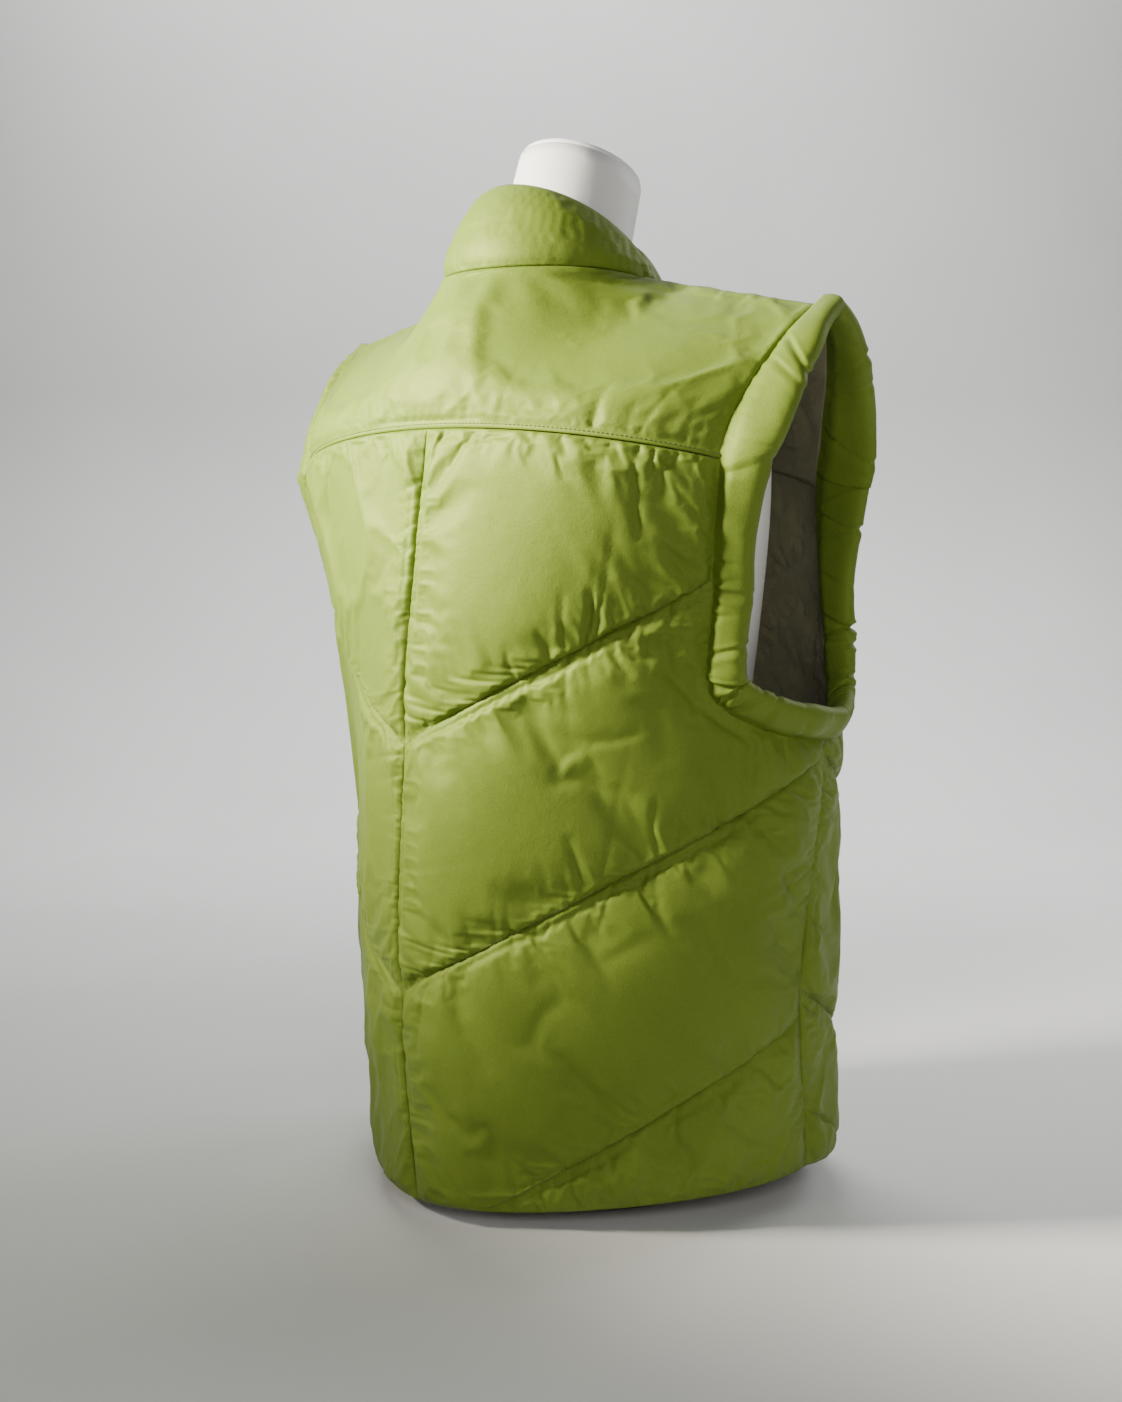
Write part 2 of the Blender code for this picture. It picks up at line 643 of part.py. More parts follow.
def body_panel(name, side, front):
    """One quilted body panel on the wearer's right, side -1, or left, side +1."""
    outline = panel_outline(front)
    top = FRONT_QUILT_TOP if front else QUILT_TOP
    lines = [quilt_line(top - step * QUILT_STEP, outline) for step in range(QUILT_LINES)]
    rows = FOLDS["front" if front else "back", side]
    folds = [[np.array(row[0:2]), np.array(row[2:4])] for row in rows]
    flat, faces, distances = pattern(outline, lines, folds)
    points = []
    for run, height in flat:
        place = half_girth(height) - run if front else run
        points.append(on_body(side * place, height))
    full = [padding(distance, CROWN) for distance in distances]
    thicknesses = [max(share * thickness, SEAM) for share, thickness in zip(fold_shares(flat, rows), full)]
    return pad_piece(name, points, faces, thicknesses, olive)


def yoke_grid(shares, side, front):
    """Columns of points of a yoke, from its lower seam up to the shoulder or the collar."""
    grid = []
    for share in shares:
        grid.append([yoke_point(share, rise, side, front) for rise in YOKE_RISES])
    return grid


def back_yoke():
    shares = yoke_shares(False)
    right = yoke_grid(shares[:0:-1], -1, False)
    left = yoke_grid(shares, 1, False)
    return pad_grid("back_yoke", right + left, YOKE_CROWN, olive)


def front_yoke(name, side):
    return pad_grid(name, yoke_grid(yoke_shares(True), side, True), YOKE_CROWN, olive)


def collar():
    """A strip round the neck, open at the zip."""
    half = [neck_turn(share, False) for share in yoke_shares(False) if share <= NECK_SHARE]
    half += [neck_turn(share, True) for share in reversed(yoke_shares(True)) if share < NECK_SHARE]
    turns = [-turn for turn in half[:0:-1]] + half
    grid = [[collar_point(turn, rise) for rise in COLLAR_RISES] for turn in turns]
    return pad_grid("collar", grid, COLLAR_CROWN, olive)


# ---------------------------------------------------------------- armhole bands

def band_direction(point, side):
    """Which way a band stands off the armhole: outwards, and in over the opening."""
    aim = Vector((0, ARMHOLE_MIDDLE[0] - point.y, ARMHOLE_MIDDLE[1] - point.z)).normalized()
    level = aim.y * abs(aim.y) * BAND_LEAN["back" if aim.y < 0 else "front"]
    upright = aim.z * abs(aim.z) * BAND_LEAN["underarm" if aim.z > 0 else "shoulder"]
    return Vector((side, level, upright)).normalized()


def band(name, side, front):
    """A padded tube along half an armhole, from the shoulder to the underarm."""
    edge = armhole_edge(side, front)
    forwards = 1 if front else -1
    shoulder_along = Vector((0, -forwards, 0))
    underarm_along = Vector((0, 0, 1)).cross(edge[-1][1]) * side * forwards
    points, faces = [], []
    for i, (point, normal) in enumerate(edge):
        before, after = edge[max(i - 1, 0)][0], edge[min(i + 1, len(edge) - 1)][0]
        along = (after - before).normalized()
        along = shoulder_along.lerp(along, ease(0, BAND_TURN, (point - edge[0][0]).length))
        along = underarm_along.lerp(along, ease(0, BAND_TURN, (point - edge[-1][0]).length))
        along = along.normalized()
        if i == 0:
            point = point + along * (GAP / 2)
        if i == len(edge) - 1:
            point = point - along * (GAP / 2)
        out = band_direction(point, side)
        out = (out - along * out.dot(along)).normalized()
        thick = along.cross(out)
        if thick.dot(normal) < 0:
            thick = -thick
        swell, level = BAND_SWELL["front" if front else "back"]
        width = BAND_WIDTH + swell * exp(-((point.z - level) / BAND_SWELL_SPREAD)**2)
        width -= BAND_TAPER * ease(BAND_TAPER_HEIGHT, SHOULDER_TIP[2], point.z)
        stand = GAP + SEAM * max(normal.dot(out), 0) + width / 2
        centre = point + out * stand + thick * (SEAM / 2)
        for k in range(BAND_SIDES):
            turn = 2 * pi * k / BAND_SIDES
            across = out * (width / 2) * cos(turn)
            points.append(centre + across + thick * (BAND_THICKNESS / 2) * sin(turn))
    rings = len(edge)
    for i in range(rings - 1):
        for k in range(BAND_SIDES):
            a, b = i * BAND_SIDES + k, i * BAND_SIDES + (k + 1) % BAND_SIDES
            faces.append((a, b, b + BAND_SIDES, a + BAND_SIDES))
    faces.append(tuple(range(BAND_SIDES)))
    faces.append(tuple((rings - 1) * BAND_SIDES + k for k in range(BAND_SIDES)))
    return add_object(name, mesh_from(name, points, faces), olive)


# ---------------------------------------------------------------- zip

def zip_point(across, row):
    """Point on the closed front, across from the zip's middle, in one of its rows."""
    side = 1 if across > 0 else -1
    if row < BODY_ZIP_ROWS:
        low, high = front_hem_height(0), FRONT_YOKE_HEIGHT - GAP / 2
        height = low + (high - low) * row / (BODY_ZIP_ROWS - 1)
        return on_body(side * (half_girth(height) - abs(across)), height)
    row -= BODY_ZIP_ROWS
    if row < YOKE_ZIP_ROWS:
        rise = SEAM_SHARE + (1 - BEND_SHARE - SEAM_SHARE) * row / (YOKE_ZIP_ROWS - 1)
        return yoke_point(abs(across) / FRONT_WIDTH, rise, side, True)
    row -= YOKE_ZIP_ROWS
    rise = BEND_SHARE + (COLLAR_ZIP_TOP - BEND_SHARE) * row / (COLLAR_ZIP_ROWS - 1)
    return collar_point(side * zip_turn(abs(across)), rise)


def zip_strip(name, edges, thickness, material):
    """A strip up the front between two distances from the zip's middle."""
    rows = BODY_ZIP_ROWS + YOKE_ZIP_ROWS + COLLAR_ZIP_ROWS
    points = [zip_point(across, row) for across in edges for row in range(rows)]
    return plain_strip(name, points, grid_faces(len(edges), rows), thickness, material)


def block(form, size, centre):
    """A box of this size, added to a mesh being built."""
    made = bmesh.ops.create_cube(form, size=1.0)["verts"]
    bmesh.ops.scale(form, vec=size, verts=made)
    bmesh.ops.translate(form, vec=centre, verts=made)


def rod(form, radius, length, centre):
    """A cylinder along X, added to a mesh being built."""
    made = bmesh.ops.create_cone(
        form, cap_ends=True, segments=ROD_SIDES, radius1=radius, radius2=radius, depth=length)
    made = made["verts"]
    bmesh.ops.rotate(form, cent=(0, 0, 0), matrix=QUARTER_TURN, verts=made)
    bmesh.ops.translate(form, vec=centre, verts=made)


def solid_of(name, build, material):
    """An object whose mesh is made by calling build with an empty bmesh."""
    mesh = bpy.data.meshes.new(name)
    form = bmesh.new()
    build(form)
    form.to_mesh(mesh)
    form.free()
    return add_object(name, mesh, material)


def cutter_of(name, build):
    tool = solid_of(name, build, steel)
    parts.objects.unlink(tool)
    cutters.objects.link(tool)
    tool.hide_render = True
    tool.display_type = "WIRE"
    return tool


def combine(thing, tool, operation):
    step = thing.modifiers.new(operation.lower(), "BOOLEAN")
    step.operation = operation
    step.object = tool


def slider_and_pull():
    """The zip's slider on the chain, and its pull tab hanging from the slider's pin."""
    low = collar_point(pi, SLIDER_RISE - SLIDER_SPAN)
    up = (collar_point(pi, SLIDER_RISE + SLIDER_SPAN) - low).normalized()
    out = Vector((0, -up.z, up.y))
    foot = collar_point(pi, SLIDER_RISE) + out * (CHAIN_THICKNESS + GAP + SLIDER_CLEAR)
    tilt = atan2(up.y, up.z) * -1
    pin_y = -(SLIDER_THICKNESS + PIN_STAND)
    ear = (EYE_WIDTH + EAR_THICKNESS) / 2 + GAP

    ear_size = (EAR_THICKNESS, PIN_STAND + 2 * PIN_RADIUS + SLIDER_THICKNESS / 2, 4 * PIN_RADIUS)
    ear_y = (pin_y - 2 * PIN_RADIUS - SLIDER_THICKNESS / 2) / 2
    body_size = (SLIDER_WIDTH, SLIDER_THICKNESS, SLIDER_LENGTH)
    tab_size = (PULL_WIDTH, PULL_THICKNESS, PULL_LENGTH)
    neck_size = (EYE_WIDTH, PULL_THICKNESS, 2 * TAB_DROP + EYE_RADIUS)

    def body_block(form):
        block(form, body_size, (0, -SLIDER_THICKNESS / 2, 0))

    def right_ear(form):
        block(form, ear_size, (-ear, ear_y, 0))

    def left_ear(form):
        block(form, ear_size, (ear, ear_y, 0))

    def pin(form):
        rod(form, PIN_RADIUS, 2 * ear + EAR_THICKNESS / 2, (0, pin_y, 0))

    def eye(form):
        rod(form, EYE_RADIUS, EYE_WIDTH, (0, 0, 0))

    def tab(form):
        block(form, tab_size, (0, 0, -PULL_LENGTH / 2 - EYE_HOLE - TAB_DROP))

    def neck(form):
        block(form, neck_size, (0, 0, -EYE_HOLE - TAB_DROP))

    def eye_hole(form):
        rod(form, EYE_HOLE, 2 * EYE_WIDTH, (0, 0, 0))

    slider = solid_of("zip_slider", body_block, steel)
    combine(slider, cutter_of("right_ear", right_ear), "UNION")
    combine(slider, cutter_of("left_ear", left_ear), "UNION")
    combine(slider, cutter_of("pin", pin), "UNION")
    pull = solid_of("zip_pull", eye, steel)
    combine(pull, cutter_of("tab", tab), "UNION")
    combine(pull, cutter_of("neck", neck), "UNION")
    combine(pull, cutter_of("eye_hole", eye_hole), "DIFFERENCE")
    for thing, place in ((slider, foot), (pull, foot + out * -pin_y)):
        thing.location = place
        thing.rotation_euler = (tilt, 0, 0)
    for thing in (slider, pull):
        for step in thing.modifiers:
            step.object.parent = thing


# ---------------------------------------------------------------- dress form

def form_ring(row):
    height, half_width, half_depth, middle, tilt = row
    tilt = radians(tilt)
    ring = []
    for k in range(FORM_SIDES):
        turn = 2 * pi * k / FORM_SIDES
        depth = half_depth * cos(turn)
        place = (half_width * sin(turn), middle + depth * cos(tilt), height + depth * sin(tilt))
        ring.append(Vector(place))
    return ring


def loft(name, rings, material):
    """A closed body through the rings, with a flat face at each end."""
    count = len(rings[0])
    points = [point for ring in rings for point in ring]
    faces = [tuple(range(count)), tuple((len(rings) - 1) * count + k for k in range(count))]
    for i in range(len(rings) - 1):
        for k in range(count):
            a, b = i * count + k, i * count + (k + 1) % count
            faces.append((a, b, b + count, a + count))
    return add_object(name, mesh_from(name, points, faces), material)


def dress_form():
    loft("form_torso", [form_ring(row) for row in FORM_RINGS], white)
    height, radius, _, middle, tilt = FORM_RINGS[-1]
    normal = Vector((0, -sin(radians(tilt)), cos(radians(tilt))))
    bpy.ops.mesh.primitive_cylinder_add(vertices=FORM_SIDES, radius=radius - CAP_INSET, depth=CAP_THICKNESS)
    cap = bpy.context.object
    cap.name = cap.data.name = "form_cap"
    cap.location = Vector((0, middle, height)) + normal * (GAP + CAP_THICKNESS / 2)
    cap.rotation_euler = (radians(tilt), 0, 0)
    adopt(cap, white)
    soften(cap, CAP_INSET)


def adopt(thing, material):
    """Put a primitive among the parts, with its material."""
    for collection in list(thing.users_collection):
        collection.objects.unlink(thing)
    parts.objects.link(thing)
    thing.data.materials.append(material)
    thing.data.shade_smooth()
    thing.data.set_sharp_from_angle(angle=SMOOTH_ANGLE)


def soften(thing, width):
    edge = thing.modifiers.new("soft edge", "BEVEL")
    edge.width = width
    edge.segments = 2
    edge.limit_method = "ANGLE"


def stand():
    bpy.ops.mesh.primitive_cylinder_add(vertices=BASE_SIDES, radius=BASE_RADIUS, depth=BASE_THICKNESS)
    base = bpy.context.object
    base.name = base.data.name = "stand_base"
    base.location = (0, STAND_Y, BASE_THICKNESS / 2)
    adopt(base, dark)
    soften(base, BASE_THICKNESS / 4)
    length = FORM_RINGS[0][0] - BASE_THICKNESS - 2 * GAP
    bpy.ops.mesh.primitive_cylinder_add(vertices=POLE_SIDES, radius=POLE_RADIUS, depth=length)
    pole = bpy.context.object
    pole.name = pole.data.name = "stand_pole"
    pole.location = (0, STAND_Y, BASE_THICKNESS + GAP + length / 2)
    adopt(pole, dark)


# ---------------------------------------------------------------- the whole

for thing in list(bpy.data.objects):
    bpy.data.objects.remove(thing, do_unlink=True)
parts = bpy.data.collections.new("puffer_vest")
cutters = bpy.data.collections.new("cutters")
for collection in (parts, cutters):
    bpy.context.scene.collection.children.link(collection)
olive = new_material("olive_shell")
white = new_material("form_white")
dark = new_material("stand_dark")
tape = new_material("zip_tape")
steel = new_material("zip_metal")

for side, word in ((-1, "right"), (1, "left")):
    body_panel("back_" + word, side, False)
    body_panel("front_" + word, side, True)
    front_yoke("front_yoke_" + word, side)
    band("band_%s_back" % word, side, False)
    band("band_%s_front" % word, side, True)
    inner, outer = side * (CHAIN_HALF + GAP), side * (ZIP_HALF - GAP)
    zip_strip("zip_tape_" + word, (inner, outer), TAPE_THICKNESS, tape)
back_yoke()
collar()
zip_strip("zip_chain", (-CHAIN_HALF, CHAIN_HALF), CHAIN_THICKNESS, tape)
slider_and_pull()
dress_form()
stand()
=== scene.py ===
"""Looks of the puffer vest: simulated quilted cloth, zip, form, floor, light and camera.

The cloth pieces are laid out with the same formulas as the solids they stand for and
inflated by a cloth simulation whose sewn points stay in place.  Then they are split finer
and given the creases along their seams and the narrow folds.
"""
import bpy
import bmesh
import numpy as np
from math import cos, hypot, pi, radians, sin, sqrt
from mathutils import Matrix, Vector
from mathutils.bvhtree import BVHTree
from mathutils.geometry import delaunay_2d_cdt


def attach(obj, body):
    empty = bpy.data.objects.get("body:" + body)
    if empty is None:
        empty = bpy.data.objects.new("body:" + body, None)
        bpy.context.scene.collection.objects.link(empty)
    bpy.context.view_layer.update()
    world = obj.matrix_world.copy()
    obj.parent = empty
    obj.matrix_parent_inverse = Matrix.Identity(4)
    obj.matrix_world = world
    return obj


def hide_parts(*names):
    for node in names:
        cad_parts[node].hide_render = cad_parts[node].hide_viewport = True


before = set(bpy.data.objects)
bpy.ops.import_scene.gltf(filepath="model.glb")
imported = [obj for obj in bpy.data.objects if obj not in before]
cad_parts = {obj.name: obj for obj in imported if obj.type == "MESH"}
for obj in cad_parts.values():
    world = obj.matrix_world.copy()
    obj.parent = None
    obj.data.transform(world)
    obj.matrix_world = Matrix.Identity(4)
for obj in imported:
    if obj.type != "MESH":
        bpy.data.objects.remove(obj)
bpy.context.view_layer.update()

BODY = "vest_and_stand"

# ---------------------------------------------------------------- sizes shared with the solids

# Level cuts of the body's inside.  Columns: height, half width, depth behind the middle,
# middle, how pointed the back is, how far the centre back slips sideways.
CUTS = np.array((
    (0.016, 0.191, 0.211, -0.074, 0.185, 0.009),
    (0.176, 0.207, 0.185, -0.047, 0.171, 0.026),
    (0.356, 0.214, 0.176, -0.038, 0.190, 0.022),
    (0.576, 0.237, 0.146, -0.010, -0.030, 0.000),
))
FRONT_DEPTH = 0.144
# Columns: height, run from the centre back.
SIDE_SEAM = np.array(((0.016, 0.319), (0.176, 0.320), (0.356, 0.346)))
CUT_MARGINS = (0.02, 0.04)
HEM_HEIGHT = 0.012
HEM_RISE = 0.0165
HEM_LEVEL = 0.030
BACK_YOKE_HEIGHT = 0.587
FRONT_YOKE_HEIGHT = 0.572
YOKE_DROP = 0.024
BACK_WIDTH = 0.230
FRONT_WIDTH = 0.178
QUILT_SLOPE = 0.55
QUILT_TOP = 0.3545
QUILT_STEP = 0.187
FRONT_QUILT_TOP = 0.410
# Edges of the armholes from the yoke down.  Columns: run, height.
BACK_ARMHOLE = (
    (0.2300, 0.5630), (0.2290, 0.5150), (0.2315, 0.4700), (0.2310, 0.4250),
    (0.2350, 0.4010), (0.2490, 0.3860), (0.2750, 0.3740), (0.3110, 0.3655),
)
FRONT_ARMHOLE = (
    (0.1780, 0.5480), (0.1740, 0.5050), (0.1730, 0.4600), (0.1780, 0.4180),
    (0.1880, 0.3930), (0.2010, 0.3770), (0.2160, 0.3680),
)
UNDERARM_HEIGHT = 0.362
SHOULDER_TIP = np.array((0.231, -0.020, 0.672))
NECK_RADIUS = 0.081
NECK_FRONT_REACH = 0.090
NECK_BACK_HEIGHT = 0.7075
NECK_FRONT_DROP = 0.067
NECK_DROP_POWER = 4
SHOULDER_TURN = radians(100.0)
NECK_SHARE = 0.36
NECK_CLIMB = 0.85
SHOULDER_CLIMB = 0.55
CLIMB_SHARES = (0.108, 0.576)
SHOULDER_ARCH = 0.002
YOKE_FULLNESS = 0.75
COLLAR_BULGE = 0.005
COLLAR_TOP_RADIUS = 0.064
COLLAR_TOP_SHIFT = -0.010
COLLAR_HEIGHT = 0.064
COLLAR_FRONT_FALL = 0.076
SEAM = 0.0025
ZIP_HALF = 0.0068
CHAIN_HALF = 0.0026
CHAIN_THICKNESS = 0.0026
TAPE_INNER = 0.0003           # the tapes all but meet under the teeth
BEND_SHARE = 0.08
BAND_WIDTH = 0.030
# How much wider each band is.  Columns: how much, at what height, how far from there.
BAND_SWELL = {("back", -1): (0.015, 0.600, 0.050), ("front", -1): (0.024, 0.556, 0.072),
              ("back", 1): (-0.006, 0.640, 0.070), ("front", 1): (0.004, 0.580, 0.050)}
BAND_TAPER = 0.006
BAND_TAPER_HEIGHT = 0.640
BAND_TURN = 0.045
BAND_LAP = 0.0028            # how far a band's edge sits over the piece it is sewn to
ARMHOLE_MIDDLE = (-0.035, 0.500)
BAND_LEAN = {"back": 0.5, "front": 0.3, "underarm": 1.3, "shoulder": 0.1}

# ---------------------------------------------------------------- sizes of the cloth

FINE = 0.0030                # spacing of the cloth's points beside seams
COARSE = 0.0056              # and away from them
FINE_REACH = 0.030
STEP = 0.0036                # spacing on yokes, collar and bands
CROWN = 0.0092               # padding before it is inflated
MM = 0.001
SEWN_REACH = 0.0004          # points this near a sewn line are held in place
TAUT_REACH = 0.0025          # creases fade out this near a sewn line


# ---------------------------------------------------------------- the vest's surface

def unit(rows):
    """The same directions, each of length 1."""
    return rows / np.linalg.norm(rows, axis=-1, keepdims=True)


def lengths_along(line):
    """How far along a polyline each of its points is."""
    return np.concatenate(([0.0], np.cumsum(np.linalg.norm(np.diff(line, axis=0), axis=1))))


def smooth_column(rows, column, height):
    """Value of a column at each height, on a smooth curve through the rows."""
    keys, values = rows[:, 0], rows[:, column]
    height = np.clip(height, keys[0] - CUT_MARGINS[0], keys[-1] + CUT_MARGINS[1])
    slopes = np.gradient(values, keys)
    i = np.clip(np.searchsorted(keys, height) - 1, 0, len(keys) - 2)
    span = keys[i + 1] - keys[i]
    t = (height - keys[i]) / span
    return ((2 * t**3 - 3 * t**2 + 1) * values[i] + (t**3 - 2 * t**2 + t) * span * slopes[i]
            + (3 * t**2 - 2 * t**3) * values[i + 1] + (t**3 - t**2) * span * slopes[i + 1])


def cut_curve(height):
    """A level cut: x, y and the run from the centre back of points all round it."""
    half_width, depth, middle, point, slip = (smooth_column(CUTS, i, height) for i in range(1, 6))
    turn = np.linspace(-pi, pi, 481)
    back = np.cos(turn) > 0
    k = np.where(back, point, 0.0)
    x = half_width * ((1 - k) * np.sin(turn) + k * np.sin(turn)**3)
    y = middle + np.where(back, depth, FRONT_DEPTH) * ((1 - k) * np.cos(turn) + k * np.cos(turn)**3)
    run = np.concatenate(([0.0], np.cumsum(np.hypot(np.diff(x), np.diff(y)))))
    return x, y, run - run[240] - slip


TABLE_STEP = 0.003
TABLE_RUNS = np.arange(-0.66, 0.66, TABLE_STEP)
TABLE_HEIGHTS = np.arange(-0.006, 0.618, TABLE_STEP)


def make_table():
    """Points of the body's inner surface on a grid of runs and heights, and half girths."""
    grid = np.zeros((len(TABLE_RUNS), len(TABLE_HEIGHTS), 3))
    halves = []
    for j, height in enumerate(TABLE_HEIGHTS):
        x, y, runs = cut_curve(height)
        length = runs[-1] - runs[0]
        run = (TABLE_RUNS - runs[0]) % length + runs[0]
        level = np.full(len(run), height)
        grid[:, j] = np.stack([np.interp(run, runs, x), np.interp(run, runs, y), level], 1)
        halves.append(length / 2)
    normals = np.cross(np.gradient(grid, axis=1), np.gradient(grid, axis=0))
    return grid, unit(normals), np.array(halves)


BODY_GRID, BODY_NORMALS, HALF_GIRTHS = make_table()


def sample(table, runs, heights):
    """Values of a table at each run and height."""
    last = np.array(table.shape[:2]) - 1.001
    u = np.clip((np.asarray(runs) - TABLE_RUNS[0]) / TABLE_STEP, 0, last[0])
    v = np.clip((np.asarray(heights) - TABLE_HEIGHTS[0]) / TABLE_STEP, 0, last[1])
    i, j = u.astype(int), v.astype(int)
    a, b = (u - i)[..., None], (v - j)[..., None]
    return ((1 - a) * (1 - b) * table[i, j] + a * (1 - b) * table[i + 1, j]
            + (1 - a) * b * table[i, j + 1] + a * b * table[i + 1, j + 1])


def half_girth(heights):
    return np.interp(heights, TABLE_HEIGHTS, HALF_GIRTHS)


def side_run(heights):
    return smooth_column(SIDE_SEAM, 1, heights)


def on_body(flat, side, front):
    """Points and normals of a panel's inner surface; a front's runs are from the zip."""
    runs, heights = flat[:, 0], flat[:, 1]
    place = side * (half_girth(heights) - runs if front else runs)
    return sample(BODY_GRID, place, heights), unit(sample(BODY_NORMALS, place, heights))


def hem_height(run):
    return HEM_HEIGHT + HEM_RISE * (run / 0.30)**2


def front_hem_height(run):
    side = half_girth(HEM_LEVEL) - side_run(HEM_LEVEL)
    return HEM_HEIGHT + (hem_height(side_run(HEM_LEVEL)) - HEM_HEIGHT) * (run / side)**2


def yoke_height(share, top):
    return top - YOKE_DROP * share**2


def neck_points(turn, outside=0.0):
    """Collar seam at each turn from the centre back."""
    height = NECK_BACK_HEIGHT - NECK_FRONT_DROP * ((1 - np.cos(turn)) / 2)**NECK_DROP_POWER
    reach = np.where(np.cos(turn) > 0, NECK_RADIUS, NECK_FRONT_REACH) + outside
    return np.stack([(NECK_RADIUS + outside) * np.sin(turn), reach * np.cos(turn), height], -1)


def bow(start, start_pull, end, end_pull, t):
    """A smooth curve between two points that leaves and arrives with these pulls."""
    return ((2 * t**3 - 3 * t**2 + 1) * start + (t**3 - 2 * t**2 + t) * start_pull
            + (3 * t**2 - 2 * t**3) * end + (t**3 - t**2) * end_pull)


def ease(low, high, value):
    """0 up to low, 1 from high on, and smooth between them."""
    t = np.clip((value - low) / (high - low), 0.0, 1.0)
    return t * t * (3 - 2 * t)


def zip_turn(across):
    return pi - np.arcsin(across / NECK_RADIUS)


def neck_turn(share, front):
    if not front:
        return share / NECK_SHARE * SHOULDER_TURN
    edge = ZIP_HALF / FRONT_WIDTH
    edge_turn = zip_turn(ZIP_HALF)
    beyond = edge_turn + (SHOULDER_TURN - edge_turn) * (share - edge) / (NECK_SHARE - edge)
    return np.where(share <= edge, zip_turn(np.minimum(share, edge) * FRONT_WIDTH), beyond)


def yoke_points(share, rise, side, front):
    """Inner surface of a yoke for arrays of shares and rises."""
    share, rise = np.broadcast_arrays(np.asarray(share, float), np.asarray(rise, float))
    if front:
        height = yoke_height(share, FRONT_YOKE_HEIGHT)
        low = sample(BODY_GRID, side * (half_girth(height) - share * FRONT_WIDTH), height)
    else:
        height = yoke_height(share, BACK_YOKE_HEIGHT)
        low = sample(BODY_GRID, side * share * BACK_WIDTH, height)
    on_neck = neck_points(side * neck_turn(np.minimum(share, NECK_SHARE), front), SEAM)
    start = neck_points(np.array(side * SHOULDER_TURN), SEAM)
    end = SHOULDER_TIP * np.array((side, 1, 1))
    t = np.clip((share - NECK_SHARE) / (1 - NECK_SHARE), 0, 1)[..., None]
    on_shoulder = start * (1 - t) + end * t + np.array((0, 0, 1)) * SHOULDER_ARCH * t * (1 - t)
    high = np.where((share <= NECK_SHARE)[..., None], on_neck, on_shoulder)
    over = ease(CLIMB_SHARES[0], CLIMB_SHARES[1], share)
    climb = (1 - over) * NECK_CLIMB + over * SHOULDER_CLIMB
    length = np.linalg.norm(high - low, axis=-1, keepdims=True)
    forwards = np.full(share.shape, 1.0 if front else -1.0)
    arrive = np.stack([np.zeros(share.shape), forwards, climb], -1)
    arrive *= length * YOKE_FULLNESS / np.linalg.norm(arrive, axis=-1, keepdims=True)
    return bow(low, np.array((0, 0, 1)) * length * YOKE_FULLNESS, high, arrive, rise[..., None])


def collar_points(turn, rise):
    """Inner surface of the collar for arrays of turns and rises."""
    turn, rise = np.broadcast_arrays(np.asarray(turn, float), np.asarray(rise, float))
    across, back = np.sin(turn), np.cos(turn)
    top = NECK_BACK_HEIGHT + COLLAR_HEIGHT - COLLAR_FRONT_FALL * (1 - back) / 2
    high = [COLLAR_TOP_RADIUS * across, COLLAR_TOP_SHIFT + COLLAR_TOP_RADIUS * back, top]
    high = np.stack(high, -1)
    outward = np.stack([across, back, np.zeros(turn.shape)], -1)
    t = rise[..., None]
    return neck_points(turn) * (1 - t) + high * t + outward * COLLAR_BULGE * np.sin(pi * t)


# ---------------------------------------------------------------- padding, gathers and folds

def rise(distance, width):
    """Share of the full padding at a distance from a seam: steep at the seam, then level."""
    t = 1 - np.clip(distance / width, 0, 1)
    return 0.55 * np.sqrt(1 - t * t) + 0.45 * (1 - t**3)


# Creases that run off a seam.  Columns: spacing, half width, length, depth.
SHORT_CREASES = (0.0050, 0.0014, 0.0065, 0.0013)
LONG_CREASES = (0.0140, 0.0021, 0.0240, 0.0018)
LINING_GATHERS = (0.0140, 0.0045, 0.0450, 0.0045)
BAND_SEAM_PUCKERS = (0.0055, 0.0012, 0.0110, 0.0017)
BAND_EDGE_PUCKERS = (0.0090, 0.0015, 0.0090, 0.0011)


def gathers(along, away, seed, sizes, scale=1.0, lean=0.0):
    """Creases that run off a seam: dents at uneven places, each of its own length.

    along and away are each point's place along the seam and distance from it.  The creases
    come in clusters, with calm stretches of the seam between them.
    """
    spacing, width, reach, depth = sizes
    depth = depth * scale
    rng = np.random.default_rng(seed)
    total = np.zeros(len(along))
    place = along.min() - spacing
    phases = rng.uniform(0, 2 * pi, 2)
    while place < along.max() + spacing:
        place += spacing * rng.uniform(0.45, 1.6)
        half = width * rng.uniform(0.7, 1.5)
        length = reach * rng.lognormal(-0.2, 0.5)
        slant = lean + rng.normal(0, 0.22)
        cluster = 0.5 + 0.35 * sin(place / 0.031 + phases[0]) + 0.3 * sin(place / 0.013 + phases[1])
        strength = depth * rng.uniform(0.4, 1.5) * max(cluster, 0.08)
        near = (np.abs(along - place) < 4 * half + 1.2 * away) & (away < 2.6 * length)
        across = along[near] - place - slant * away[near]
        uneven = np.where(across > 0, 0.75, 1.3)
        across = np.abs(across) / (half * (1 + 0.8 * away[near] / length)) * uneven
        fade = np.exp(-(away[near] / length)**2) * (1 - np.exp(-(away[near] / 0.0018)**2))
        total[near] -= strength * np.exp(-across**1.4) * fade
    return total


def teeth_of(along, away, seed, scale=1.0, lean=0.0):
    """Short close creases right at a seam and a few long thin ones that run off it."""
    short = gathers(along, away, seed, SHORT_CREASES, scale, lean)
    return short + gathers(along, away, seed + 7, LONG_CREASES, scale, lean)


